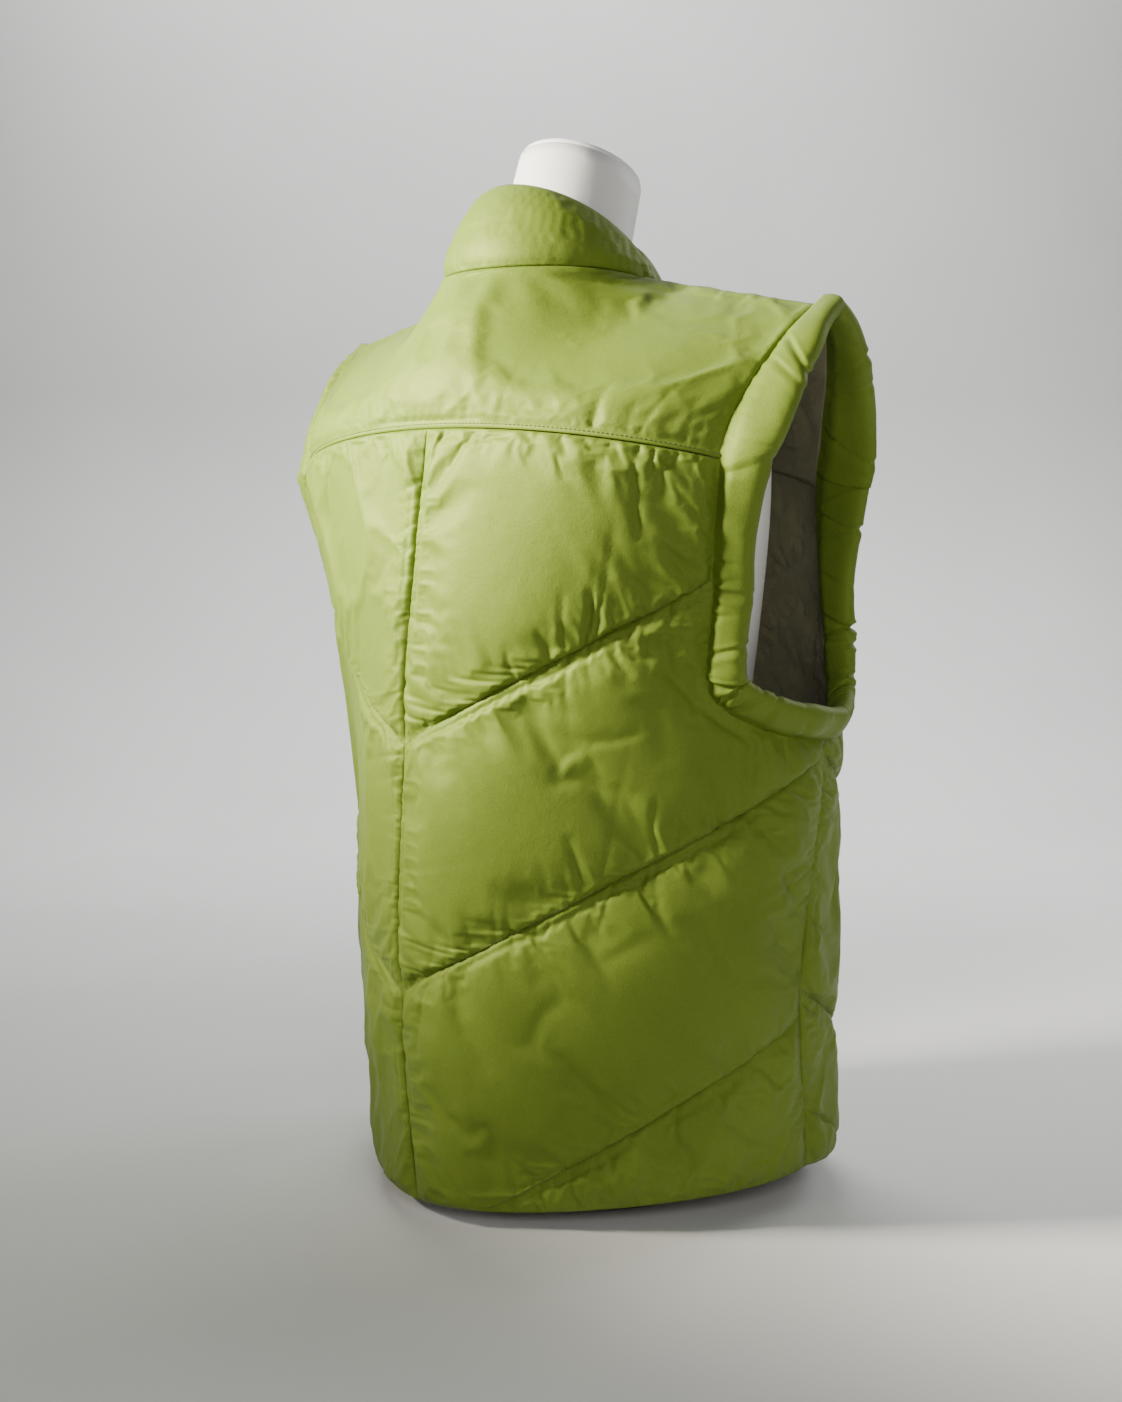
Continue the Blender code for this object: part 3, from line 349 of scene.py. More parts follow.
def distance_to(points, line):
    """Distance from a polyline, place along it and side of it for each flat point."""
    starts, spans = line[:-1], np.diff(line, axis=0)
    lengths = np.linalg.norm(spans, axis=1)
    begins = lengths_along(line)
    rel = points[:, None] - starts[None]
    t = np.clip((rel * spans).sum(2) / (spans**2).sum(1), 0, 1)
    gaps = np.linalg.norm(rel - t[:, :, None] * spans, axis=2)
    best = gaps.argmin(1)
    rows = np.arange(len(points))
    turned = spans[best, 0] * rel[rows, best, 1] - spans[best, 1] * rel[rows, best, 0]
    return gaps[rows, best], begins[best] + t[rows, best] * lengths[best], np.sign(turned)


BROAD = 7.0                  # half width in millimetres from which a fold is laid before inflating
NARROW_SCALE = 0.62          # the others' depth and width after it, against the table's


def folds(flat, rows, broad):
    """Depth of the listed folds at each flat point, either the broad ones or the narrow.

    Columns of a row: run and height of one end, run and height of the other, depth in
    millimetres (negative for a ridge), half width in millimetres.
    """
    total = np.zeros(len(flat))
    for number, (a, b, c, d, depth, width) in enumerate(rows):
        if (width >= BROAD) != broad:
            continue
        if not broad:
            depth, width = NARROW_SCALE * depth, NARROW_SCALE * width
        bend = 0.10 * sin(2.4 * number)
        middle = ((a + c) / 2 + bend * (b - d), (b + d) / 2 + bend * (c - a))
        line = refine(((a, b), middle, (c, d)), 4)
        gap, along, turned = distance_to(flat, line)
        length = hypot(c - a, d - b)
        taper = np.clip(4 * (along / length) * (1 - along / length), 0, 1)**0.6
        wide = width * MM * np.where(turned > 0, 1.35, 0.75)
        total -= depth * MM * taper * np.exp(-(gap / wide)**1.5)
    return total


WAVES = 14


def bumps(points, size, seed):
    """Smooth uneven field of about unit height, with bumps of this size."""
    rng = np.random.default_rng(seed)
    total = np.zeros(len(points))
    for _ in range(WAVES):
        direction = rng.normal(size=points.shape[1])
        direction /= np.linalg.norm(direction)
        wave = size * rng.uniform(0.7, 1.6)
        total += np.sin(points @ direction * 2 * pi / wave + rng.uniform(0, 2 * pi))
    return total / sqrt(WAVES / 2)


def drawn_in(hollow, thickness):
    """The lining's depth, kept well inside the padding."""
    return np.clip(hollow, 0, 0.6 * thickness - 0.0010)


def lining_depth(points, seed):
    """How far the lining is drawn in: soft crossing wrinkles and wide hollows."""
    wide = 1 + bumps(points, 0.060, seed)
    crossing = 1 - np.abs(bumps(points, 0.030, seed + 1))
    return 0.0012 * wide + 0.0022 * np.clip(crossing, 0, 1)**2


# ---------------------------------------------------------------- meshes

def mesh_object(name, points, faces):
    mesh = bpy.data.meshes.new(name)
    mesh.from_pydata([tuple(point) for point in points], [], [tuple(face) for face in faces])
    mesh.shade_smooth()
    thing = bpy.data.objects.new(name, mesh)
    bpy.context.scene.collection.objects.link(thing)
    return thing


def coordinates(mesh):
    found = np.empty(len(mesh.vertices) * 3)
    mesh.vertices.foreach_get("co", found)
    return found.reshape(-1, 3)


def inside(points, outline):
    """Which flat points are inside a closed outline."""
    result = np.zeros(len(points), bool)
    for a, b in zip(outline, np.roll(outline, -1, axis=0)):
        crosses = (a[1] > points[:, 1]) != (b[1] > points[:, 1])
        climb = b[1] - a[1] if b[1] != a[1] else 1.0
        result ^= crosses & (points[:, 0] < a[0] + (points[:, 1] - a[1]) * (b[0] - a[0]) / climb)
    return result


def respaced(line, step):
    """The polyline with points every step along it."""
    line = np.asarray(line, float)
    places = lengths_along(line)
    count = max(int(round(places[-1] / step)), 2)
    wanted = np.linspace(0, places[-1], count + 1)
    return np.stack([np.interp(wanted, places, line[:, k]) for k in range(line.shape[1])], 1)


def refine(rows, times):
    """A smooth curve through the rows, with this many points from each to the next."""
    rows = [np.array(row) for row in rows]
    fine = []
    for i in range(len(rows) - 1):
        before = rows[max(i - 1, 0)]
        after = rows[min(i + 2, len(rows) - 1)]
        leave, arrive = (rows[i + 1] - before) / 2, (after - rows[i]) / 2
        fine += [bow(rows[i], leave, rows[i + 1], arrive, k / times) for k in range(times)]
    return np.array(fine + [rows[-1]])


def side_edge(heights, front):
    runs = side_run(heights)
    return half_girth(heights) - runs if front else runs


def armhole_line(front):
    table = FRONT_ARMHOLE if front else BACK_ARMHOLE
    return refine(table + ((side_edge(UNDERARM_HEIGHT, front), UNDERARM_HEIGHT),), 2)


# ---------------------------------------------------------------- cloth

cloths = []


def cloth_piece(name, outer, inner, faces, sewn, rim, up, flat, detail, settings):
    """Remembers a padded piece: its outer sheet is simulated, its inner sheet is not.

    outer and inner are matching points, sewn marks the points held in place, rim lists the
    closed loop of edge points, up is each point's outward direction, and detail gives the
    fine creases at places on the flat pattern.
    """
    thing = mesh_object(name, outer, faces)
    group = thing.vertex_groups.new(name="sewn")
    group.add([int(i) for i in np.flatnonzero(sewn)], 1.0, "REPLACE")
    add_cloth(thing, **settings)
    cloths.append({"thing": thing, "outer": np.array(outer), "inner": inner, "faces": faces,
                   "sewn": sewn, "rim": rim, "up": up, "flat": flat, "detail": detail})


SIMULATION_FRAMES = 20
CLOTH_FORM = {
    "quality": 4, "mass": 0.15, "air_damping": 4.0, "tension_stiffness": 12.0,
    "compression_stiffness": 12.0, "shear_stiffness": 6.0, "bending_stiffness": 0.25,
    "tension_damping": 8.0, "compression_damping": 8.0, "shear_damping": 8.0,
    "bending_damping": 0.5, "use_pressure": True, "vertex_group_mass": "sewn",
}
MOST_OUT = 0.0052            # how far a point may move outwards from where it was laid
MOST_IN = 0.004              # inwards
MOST_LEVEL = 0.006           # and sideways
LEAST_THICKNESS = 0.0018
LEAST_CREASED = 0.0012       # and of a panel under its deepest creases


def add_cloth(thing, pressure=4.0, growth=0.05):
    """Lets a sheet be inflated; growth is how much larger it wants to be than it is laid."""
    cloth = thing.modifiers.new("cloth", "CLOTH")
    form = cloth.settings
    for key, value in CLOTH_FORM.items():
        setattr(form, key, value)
    form.shrink_min = -growth
    form.shrink_max = -growth
    form.uniform_pressure_force = pressure
    form.effector_weights.gravity = 0.0
    cloth.collision_settings.use_collision = False
    cloth.collision_settings.use_self_collision = False
    cloth.point_cache.frame_start = 1
    cloth.point_cache.frame_end = SIMULATION_FRAMES


def remove(thing):
    mesh = thing.data
    bpy.data.objects.remove(thing, do_unlink=True)
    bpy.data.meshes.remove(mesh)


def settle():
    """Runs the cloth simulation once for all the pieces and closes each with its inner side."""
    for number in range(1, SIMULATION_FRAMES + 1):
        bpy.context.scene.frame_set(number)
    graph = bpy.context.evaluated_depsgraph_get()
    for piece in cloths:
        moved = coordinates(piece["thing"].evaluated_get(graph).to_mesh())
        piece["outer"] = cap(piece["outer"], moved, piece)
    made = {}
    for piece in cloths:
        name = piece["thing"].name
        remove(piece["thing"])
        made[name] = closed(name, piece)
    bpy.context.scene.frame_set(1)
    return made


def cap(laid, moved, piece):
    """The simulated points, kept near where they were laid and off the inner side."""
    up = piece["up"]
    step = moved - laid
    out = (step * up).sum(1, keepdims=True)
    level = step - up * out
    reach = np.linalg.norm(level, axis=1, keepdims=True)
    level *= np.minimum(1, MOST_LEVEL / np.maximum(reach, 1e-9))
    out = np.where(out > 0, MOST_OUT * np.tanh(out / MOST_OUT), MOST_IN * np.tanh(out / MOST_IN))
    result = laid + level + up * out
    height = ((result - piece["inner"]) * up).sum(1, keepdims=True)
    result += up * np.maximum(LEAST_THICKNESS - height, 0) * ~piece["sewn"][:, None]
    result[piece["sewn"]] = laid[piece["sewn"]]
    return result


def closed(name, piece):
    """The outer sheet, split and smoothed once, with its lining and the strip between them."""
    inner = piece["inner"]
    points, faces, halves = split(piece["outer"], np.array(piece["faces"]), piece["sewn"])
    flat, up, under = (spread_over(piece[key], piece["faces"]) for key in ("flat", "up", "inner"))
    points += up * piece["detail"](flat)[:, None]
    height = ((points - under) * up).sum(1, keepdims=True)
    points += up * np.maximum(LEAST_CREASED - height, 0)
    count = len(points)
    points = np.concatenate([points, inner])
    every = [tuple(face) for face in faces.tolist()]
    shown = len(every)
    every += [tuple(count + i for i in reversed(face)) for face in piece["faces"]]
    lined = len(every)
    rim = piece["rim"]
    for a, b in zip(rim, rim[1:] + rim[:1]):
        half = halves[min(a, b), max(a, b)]
        every += [(half, a, count + a), (b, half, count + b), (half, count + a, count + b)]
    thing = mesh_object(name, points, every)
    mesh = thing.data
    lining = np.zeros(len(every), int)
    lining[shown:lined] = 1
    mesh.polygons.foreach_set("material_index", lining)
    face_outwards(mesh)
    return thing


def edges_of(faces):
    """Each edge of a sheet of triangles once, and its number for each side of each triangle."""
    pairs = np.sort(np.array(faces)[:, [[0, 1], [1, 2], [2, 0]]].reshape(-1, 2), axis=1)
    edges, place = np.unique(pairs, axis=0, return_inverse=True)
    return edges, place.reshape(-1)


def split(points, faces, held):
    """Every triangle cut in four and the surface smoothed, but not along held lines."""
    edges, place = edges_of(faces)
    across, uses = np.zeros((len(edges), 3)), np.zeros(len(edges))
    np.add.at(across, place, points[faces[:, [2, 0, 1]].ravel()])
    np.add.at(uses, place, 1)
    ends = points[edges].sum(1)
    fixed = (uses == 1) | held[edges].all(1)
    middles = np.where(fixed[:, None], ends / 2, ends * 3 / 8 + across / 8)
    around, number = np.zeros(points.shape), np.zeros(len(points))
    for a, b in ((0, 1), (1, 0)):
        np.add.at(around, edges[:, a], points[edges[:, b]])
        np.add.at(number, edges[:, a], 1)
    moved = np.where(held[:, None], points, points * 5 / 8 + around / number[:, None] * 3 / 8)
    a, b, c = faces.T
    ab, bc, ca = len(points) + place.reshape(-1, 3).T
    cut = np.stack([a, ab, ca, ab, b, bc, ca, bc, c, ab, bc, ca], 1).reshape(-1, 3)
    halves = {tuple(edges[i].tolist()): len(points) + int(i) for i in np.flatnonzero(uses == 1)}
    return np.concatenate([moved, middles]), cut, halves


def spread_over(values, faces):
    """Values of a sheet's points carried to the points of the split sheet."""
    return np.concatenate([values, values[edges_of(faces)[0]].mean(1)])


def face_outwards(mesh):
    form = bmesh.new()
    form.from_mesh(mesh)
    bmesh.ops.recalc_face_normals(form, faces=form.faces)
    form.to_mesh(mesh)
    form.free()
    mesh.shade_smooth()


def apply_all(thing):
    """The object with its modifiers made real."""
    graph = bpy.context.evaluated_depsgraph_get()
    mesh = bpy.data.meshes.new_from_object(thing.evaluated_get(graph))
    old = thing.data
    thing.modifiers.clear()
    thing.data = mesh
    mesh.name = thing.name
    bpy.data.meshes.remove(old)
    return thing


def loop_of(faces):
    """The closed loop of points round the edge of a sheet."""
    count = {}
    for face in faces:
        for a, b in zip(face, face[1:] + face[:1]):
            count[a, b] = count.get((a, b), 0) + 1
    following = {a: b for (a, b) in count if (b, a) not in count}
    start = next(iter(following))
    loop = [start]
    while following[loop[-1]] != start:
        loop.append(following[loop[-1]])
    return loop


# ---------------------------------------------------------------- body panels

# Large folds.  Columns: run and height of one end, of the other, depth and half
# width in millimetres.  A front's runs are from the zip.
FOLDS = {
    ("back", -1): (
        (0.171, 0.560, 0.176, 0.508, 4.2, 4.5), (0.186, 0.512, 0.222, 0.474, 3.2, 6.0),
        (0.118, 0.566, 0.126, 0.545, 1.8, 4.0), (0.197, 0.418, 0.228, 0.388, 4.0, 8.0),
        (0.224, 0.396, 0.270, 0.364, 3.0, 7.0), (0.150, 0.364, 0.190, 0.374, 2.0, 6.0),
        (0.148, 0.360, 0.160, 0.332, 1.5, 6.0), (0.198, 0.330, 0.207, 0.282, 3.2, 4.5),
        (0.228, 0.352, 0.243, 0.300, 3.6, 5.0), (0.138, 0.300, 0.151, 0.254, 3.6, 4.5),
        (0.090, 0.440, 0.102, 0.405, 2.4, 4.5), (0.110, 0.452, 0.119, 0.418, 2.6, 4.5),
        (0.127, 0.476, 0.133, 0.428, 3.0, 4.5), (0.144, 0.478, 0.152, 0.438, 2.8, 4.5),
        (0.163, 0.484, 0.169, 0.450, 2.0, 5.0), (0.236, 0.228, 0.264, 0.178, 2.4, 8.0),
        (0.285, 0.278, 0.312, 0.240, 2.8, 5.0), (0.272, 0.302, 0.302, 0.272, 2.6, 6.0),
        (0.285, 0.236, 0.312, 0.204, 2.4, 5.0), (0.110, 0.135, 0.144, 0.184, 2.6, 15.0),
        (0.058, 0.188, 0.082, 0.118, 2.4, 11.0), (0.160, 0.200, 0.204, 0.226, 2.2, 13.0),
        (0.010, 0.268, 0.034, 0.230, 2.4, 6.0), (0.030, 0.108, 0.062, 0.068, 2.4, 7.0),
        (0.252, 0.134, 0.292, 0.104, 2.6, 8.0), (0.240, 0.086, 0.288, 0.058, 2.4, 9.0),
        (0.268, 0.152, 0.286, 0.116, 2.4, 5.0), (0.180, 0.072, 0.218, 0.048, 2.0, 10.0),
        (0.110, 0.385, 0.135, 0.345, 1.8, 9.0), (0.190, 0.400, 0.203, 0.350, 2.0, 9.0),
    ),
    ("back", 1): (
        (0.127, 0.560, 0.131, 0.506, 3.2, 5.0), (0.203, 0.420, 0.228, 0.390, 3.6, 8.0),
        (0.170, 0.326, 0.178, 0.280, 3.0, 5.0), (0.224, 0.350, 0.237, 0.304, 3.2, 5.0),
        (0.098, 0.448, 0.110, 0.414, 2.4, 5.0), (0.160, 0.480, 0.168, 0.444, 2.4, 5.0),
        (0.060, 0.310, 0.084, 0.332, 2.0, 8.0), (0.118, 0.172, 0.148, 0.214, 2.4, 12.0),
        (0.020, 0.502, 0.042, 0.468, 1.6, 8.0), (0.055, 0.238, 0.071, 0.206, 2.4, 6.0),
        (0.258, 0.262, 0.292, 0.228, 2.4, 7.0), (0.238, 0.112, 0.278, 0.078, 2.4, 8.0),
        (0.078, 0.114, 0.102, 0.058, 2.4, 10.0), (0.168, 0.092, 0.208, 0.058, 2.0, 10.0),
    ),
    ("front", -1): (
        (0.062, 0.552, 0.064, 0.508, 3.0, 5.0), (0.112, 0.336, 0.118, 0.294, 3.0, 5.0),
        (0.188, 0.266, 0.216, 0.222, 2.4, 8.0), (0.148, 0.472, 0.167, 0.438, 3.0, 6.0),
        (0.128, 0.422, 0.152, 0.393, 2.4, 8.0), (0.050, 0.302, 0.058, 0.268, 2.4, 5.0),
        (0.198, 0.352, 0.227, 0.333, 2.4, 6.0), (0.158, 0.182, 0.192, 0.148, 2.4, 10.0),
        (0.048, 0.142, 0.077, 0.108, 2.4, 10.0), (0.218, 0.122, 0.247, 0.088, 2.4, 8.0),
    ),
    ("front", 1): (
        (0.088, 0.552, 0.091, 0.510, 3.0, 5.0), (0.132, 0.350, 0.139, 0.308, 3.0, 5.0),
        (0.178, 0.240, 0.208, 0.200, 2.4, 8.0), (0.148, 0.478, 0.165, 0.444, 3.0, 6.0),
        (0.060, 0.407, 0.072, 0.370, 2.4, 6.0), (0.030, 0.282, 0.040, 0.248, 2.4, 5.0),
        (0.108, 0.152, 0.142, 0.118, 2.4, 10.0), (0.208, 0.332, 0.237, 0.308, 2.4, 6.0),
        (0.058, 0.092, 0.087, 0.058, 2.4, 9.0), (0.198, 0.102, 0.237, 0.073, 2.4, 8.0),
    ),
}
# How much larger each shell wants to be than it is laid; -1 is the wearer's right.
GROWTH = {("back", -1): 0.042, ("back", 1): 0.026, ("front", -1): 0.042, ("front", 1): 0.042}
MARGIN = 0.0038              # flat strip beside a topstitched seam
SIDE_LEAN = 0.6              # slant of the creases at the side seam
CREASE_SHARES = {"centre": 0.8, "yoke": 0.9, "armhole": 0.8, "side": 1.7, "hem": 0.8}
# How far from each edge, and above and below a quilt line, the padding is full.
EDGE_RISE = {"centre": 0.020, "yoke": 0.034, "armhole": 0.020, "side": 0.022, "hem": 0.026}
QUILT_RISE = {"above": 0.022, "below": 0.028}
SAGS = (0.0080, 0.0068, 0.0050)   # how far each panel hangs over the quilt line below it
SAG_PEAK = 0.013                  # this far above the line
SAG_CENTRE = 0.060                # it fades over this towards the zip or the centre back


def panel_lines(front):
    """The sewn edges of a body panel, each as a flat polyline from the zip or centre back."""
    centre = ZIP_HALF if front else 0.0
    hem = front_hem_height if front else hem_height
    top = FRONT_YOKE_HEIGHT if front else BACK_YOKE_HEIGHT
    width = FRONT_WIDTH if front else BACK_WIDTH
    heights = np.linspace(hem(centre), yoke_height(centre / width, top), 60)
    centre_line = np.stack([np.full(60, centre), heights], 1)
    shares = np.linspace(centre / width, 1, 30)
    yoke_line = np.stack([shares * width, yoke_height(shares, top)], 1)
    armhole = armhole_line(front)
    foot = float(hem(side_edge(HEM_LEVEL, front)))
    heights = np.linspace(UNDERARM_HEIGHT, foot, 50)
    side_line = np.stack([side_edge(heights, front), heights], 1)
    armhole[-1] = side_line[0]
    armhole[0] = yoke_line[-1]
    runs = np.linspace(side_line[-1, 0], centre, 40)
    hem_line = np.stack([runs, hem(runs)], 1)
    return {"centre": centre_line, "yoke": yoke_line, "armhole": armhole,
            "side": side_line, "hem": hem_line}


def quilt_line(level, outline):
    runs = np.linspace(0.0, 0.40, 801)
    line = np.stack([runs, level + QUILT_SLOPE * runs], 1)
    within = line[inside(line, outline)]
    return respaced(within[[0, -1]], FINE)


def lattice(low, high, step):
    """Points of an even pattern of triangles over a flat rectangle."""
    row_height = step * sqrt(3) / 2
    rows = []
    for row in range(int((high[1] - low[1]) / row_height) + 1):
        runs = np.arange(low[0] + (row % 2) * step / 2, high[0], step)
        rows.append(np.stack([runs, np.full(len(runs), low[1] + row * row_height)], 1))
    return np.concatenate(rows)


def cut_out(outline, lines):
    """Flat points and triangles of a piece, denser beside its edges and sewn lines."""
    everything = [np.concatenate([outline, outline[:1]])] + lines
    loose = []
    for step, nearest, farthest in ((FINE, 0.55 * FINE, FINE_REACH),
                                    (COARSE, FINE_REACH + 0.5 * FINE, 1.0)):
        points = lattice(outline.min(0), outline.max(0), step)
        points = points[inside(points, outline)]
        away = np.min([distance_to(points, line)[0] for line in everything], axis=0)
        loose.append(points[(away > nearest) & (away < farthest)])
    corners = [Vector(point) for point in outline]
    links = [(i, (i + 1) % len(corners)) for i in range(len(corners))]
    for line in lines:
        first = len(corners)
        corners += [Vector(point) for point in line[1:-1]]
        links += [(first + i, first + i + 1) for i in range(len(line) - 3)]
    corners += [Vector(point) for point in np.concatenate(loose)]
    flat, _, faces, *_ = delaunay_2d_cdt(corners, links, [], 1, 0.00003)
    return np.array([tuple(point) for point in flat]), [tuple(face) for face in faces]


def body_panel(name, side, front, seed):
    edges = {key: respaced(line, FINE) for key, line in panel_lines(front).items()}
    outline = np.concatenate([line[:-1] for line in edges.values()])
    top = FRONT_QUILT_TOP if front else QUILT_TOP
    lines = [quilt_line(top - step * QUILT_STEP, outline) for step in range(3)]
    flat, faces = cut_out(outline, lines)

    measures = {key: distance_to(flat, line) for key, line in edges.items()}
    quilts = [distance_to(flat, line) for line in lines]
    from_edge = np.min([m[0] for m in measures.values()], axis=0)
    distance = np.min([from_edge] + [q[0] for q in quilts], axis=0)
    full = np.ones(len(flat))
    for key, (away, _, _) in measures.items():
        full *= rise(away, EDGE_RISE[key])
    for away, _, turned in quilts:
        full *= rise(away, np.where(turned > 0, QUILT_RISE["above"], QUILT_RISE["below"]))
    thickness = SEAM + (CROWN - SEAM) * full * (1 + 0.08 * bumps(flat, 0.13, seed))
    rows = FOLDS["front" if front else "back", side]
    thickness += 0.7 * folds(flat, rows, True) * ease(0.0, 0.012, distance)
    thickness = np.maximum(thickness, SEAM)

    sag = np.zeros(len(flat))
    for (away, _, turned), most in zip(quilts, SAGS):
        sag += np.where(turned > 0, most * (away / SAG_PEAK) * np.exp(1 - away / SAG_PEAK), 0)
    # no panel hangs over beside its seams, and least of all beside the zip or the centre back
    sag *= ease(0.0, 0.012, from_edge) * ease(0.0, SAG_CENTRE, measures["centre"][0])**0.5
    laid = flat.copy()
    laid[:, 1] -= sag
    inner, up = on_body(flat, side, front)
    base, lean = on_body(laid, side, front)
    outer = base + lean * thickness[:, None]
    hollow = lining_depth(flat, seed + 40) * ease(0.0, 0.02, distance)
    for key in ("armhole", "side", "yoke"):
        away, along, _ = measures[key]
        hollow -= gathers(along, away, seed + 50 + len(key), LINING_GATHERS)
    inner = inner + up * drawn_in(hollow, thickness)[:, None]
    sewn = distance < SEWN_REACH

    def detail(flat):
        creases = folds(flat, rows, False)
        nearest = np.full(len(flat), 1.0)
        for number, (key, line) in enumerate(edges.items()):
            away, along, _ = distance_to(flat, line)
            lean = SIDE_LEAN if key == "side" else 0.0
            creases += teeth_of(along, away, seed + 60 + number, CREASE_SHARES[key], lean)
            nearest = np.minimum(nearest, away)
        for number, line in enumerate(lines):
            away, along, turned = distance_to(flat, line)
            above = teeth_of(along, away, seed + 70 + number, 1.35 - 0.2 * number, QUILT_SLOPE)
            below = teeth_of(along, away, seed + 80 + number, 0.8, -QUILT_SLOPE)
            creases += np.where(turned > 0, above, below)
            nearest = np.minimum(nearest, away)
        return creases * ease(0.0, TAUT_REACH, nearest)

    cloth_piece(name, outer, inner, faces, sewn, loop_of(faces), lean, flat, detail,
                {"growth": GROWTH["front" if front else "back", side]})
    return lines


def topstitched(thickness, distance):
    """A flat strip with a row of stitches beside a seam."""
    strip = SEAM + 0.0012 * np.sin(np.clip(distance / MARGIN, 0, 1) * pi)
    over = ease(MARGIN, MARGIN * 1.9, distance)
    return strip * (1 - over) + thickness * over


# ---------------------------------------------------------------- yokes and collar

def grid_faces(columns, rows):
    """Triangles of a grid, with their diagonals crossed like a lattice."""
    faces = []
    for i in range(columns - 1):
        for k in range(rows - 1):
            a, b = i * rows + k, (i + 1) * rows + k
            c, d = b + 1, a + 1
            faces += ((a, b, c), (a, c, d)) if (i + k) % 2 else ((a, b, d), (b, c, d))
    return faces


def grid_measures(grid):
    """For each point of a grid: distances from its four edges, and arc lengths along them."""
    up = np.linalg.norm(np.diff(grid, axis=1), axis=2)
    across = np.linalg.norm(np.diff(grid, axis=0), axis=2)
    up = np.concatenate([np.zeros((grid.shape[0], 1)), np.cumsum(up, axis=1)], axis=1)
    across = np.concatenate([np.zeros((1, grid.shape[1])), np.cumsum(across, axis=0)], axis=0)
    return up, up[:, -1:] - up, across, across[-1:] - across


def relaxed(grid, times):
    """The grid with creases inside it evened out and its edges kept."""
    grid = grid.copy()
    for _ in range(times):
        around = grid[:-2, 1:-1] + grid[2:, 1:-1] + grid[1:-1, :-2] + grid[1:-1, 2:]
        grid[1:-1, 1:-1] += 0.8 * (around / 4 - grid[1:-1, 1:-1])
    return grid


def grid_normals(grid, middle):
    normals = np.cross(np.gradient(grid, axis=0), np.gradient(grid, axis=1))
    normals /= np.maximum(np.linalg.norm(normals, axis=2, keepdims=True), 1e-12)
    facing = (normals * (grid - np.array(middle))).sum()
    return normals if facing > 0 else -normals


def grid_piece(name, grid, middle, crown, width, field, seed, shares, strip=0.0, settings=None):
    """A padded piece on a grid of its inner surface.

    field is the depth of its folds, and shares how strong the creases are at its lower,
    upper and end seams.
    """
    low, high, left, right = grid_measures(grid)
    distance = np.minimum(np.minimum(low, high), np.minimum(left, right))
    full = rise(low, width) * rise(high, width) * rise(left, width) * rise(right, width)
    thickness = SEAM + (crown - SEAM) * full
    if strip:
        thickness = np.where(low < 3 * strip, topstitched(thickness, low), thickness)
    shape, inwards = thickness.shape, ease(0.0, 0.02, distance)
    thickness = np.maximum(thickness + field.reshape(shape) * inwards, SEAM)
    normals = grid_normals(grid, middle)
    outer = grid + normals * thickness[:, :, None]
    hollow = lining_depth(grid.reshape(-1, 3), 5).reshape(shape) * inwards
    inner = grid + normals * drawn_in(hollow, thickness)[:, :, None]
    faces = grid_faces(*shape)
    sewn = (distance < SEWN_REACH).ravel()
    if strip:
        sewn |= (np.abs(low - strip).ravel() < 0.5 * STEP) & (distance.ravel() > 0.5 * strip)
    measures = np.stack([low, high, left, right], -1).reshape(-1, 4)

    def detail(measures):
        low, high, left, right = np.maximum(measures.T, 0)
        from_strip = np.maximum(low - strip, 0)
        creases = (teeth_of(left, from_strip, seed, shares[0])
                   + teeth_of(left, high, seed + 1, shares[1]))
        creases += (teeth_of(low, left, seed + 2, shares[2])
                    + teeth_of(low, right, seed + 3, shares[2]))
        return creases * ease(0.0, TAUT_REACH, measures.min(1))

    cloth_piece(name, outer.reshape(-1, 3), inner.reshape(-1, 3), faces, sewn, loop_of(faces),
                normals.reshape(-1, 3), measures, detail, settings or {})


def spread(start, end, step):
    return np.linspace(start, end, max(int(round((end - start) / step)), 2) + 1)


YOKE_REACH, YOKE_CLIMB = 0.215, 0.165   # about half the back yoke's width, and its height
YOKE_MIDDLE = (0, 0, 0.60)
RELAXING = 120
# Folds of the back yoke.  Columns: share and rise of one end, of the other, depth and half
# width in millimetres; the wearer's right is negative.
YOKE_FOLDS = (
    (-0.20, 0.98, -0.40, 0.58, 0.8, 9.0), (-0.28, 0.96, -0.52, 0.60, 0.7, 9.0),
    (-0.34, 0.93, -0.66, 0.66, 0.6, 9.0), (-0.10, 0.97, -0.16, 0.70, 0.6, 8.0),
    (0.24, 0.96, 0.42, 0.60, 0.8, 9.0), (0.10, 0.97, 0.16, 0.72, 0.5, 8.0),
    (-0.84, 0.36, -0.90, 0.08, 1.6, 6.0), (-0.62, 0.24, -0.66, 0.04, 1.2, 5.0),
)


def back_yoke():
    shares = spread(0, 1, STEP / YOKE_REACH)
    rises = spread(0, 1, STEP / YOKE_CLIMB)
    right = yoke_points(shares[:0:-1, None], rises[None], -1, False)
    left = yoke_points(shares[:, None], rises[None], 1, False)
    grid = relaxed(np.concatenate([right, left]), RELAXING)
    signed = np.concatenate([-shares[:0:-1], shares])
    flat = np.broadcast_arrays(signed[:, None] * YOKE_REACH, rises[None] * YOKE_CLIMB)
    flat = np.stack(flat, -1).reshape(-1, 2)
    scale = np.array((YOKE_REACH, YOKE_CLIMB, YOKE_REACH, YOKE_CLIMB, 1, 1))
    rows = [np.array(row) * scale for row in YOKE_FOLDS]
    field = folds(flat, rows, True) + 0.0004 * bumps(flat, 0.10, 71)
    grid_piece("cloth_back_yoke", grid, YOKE_MIDDLE, CROWN, 0.055, field, 72, (0.8, 0.3, 0.35),
               MARGIN, {"growth": 0.014})


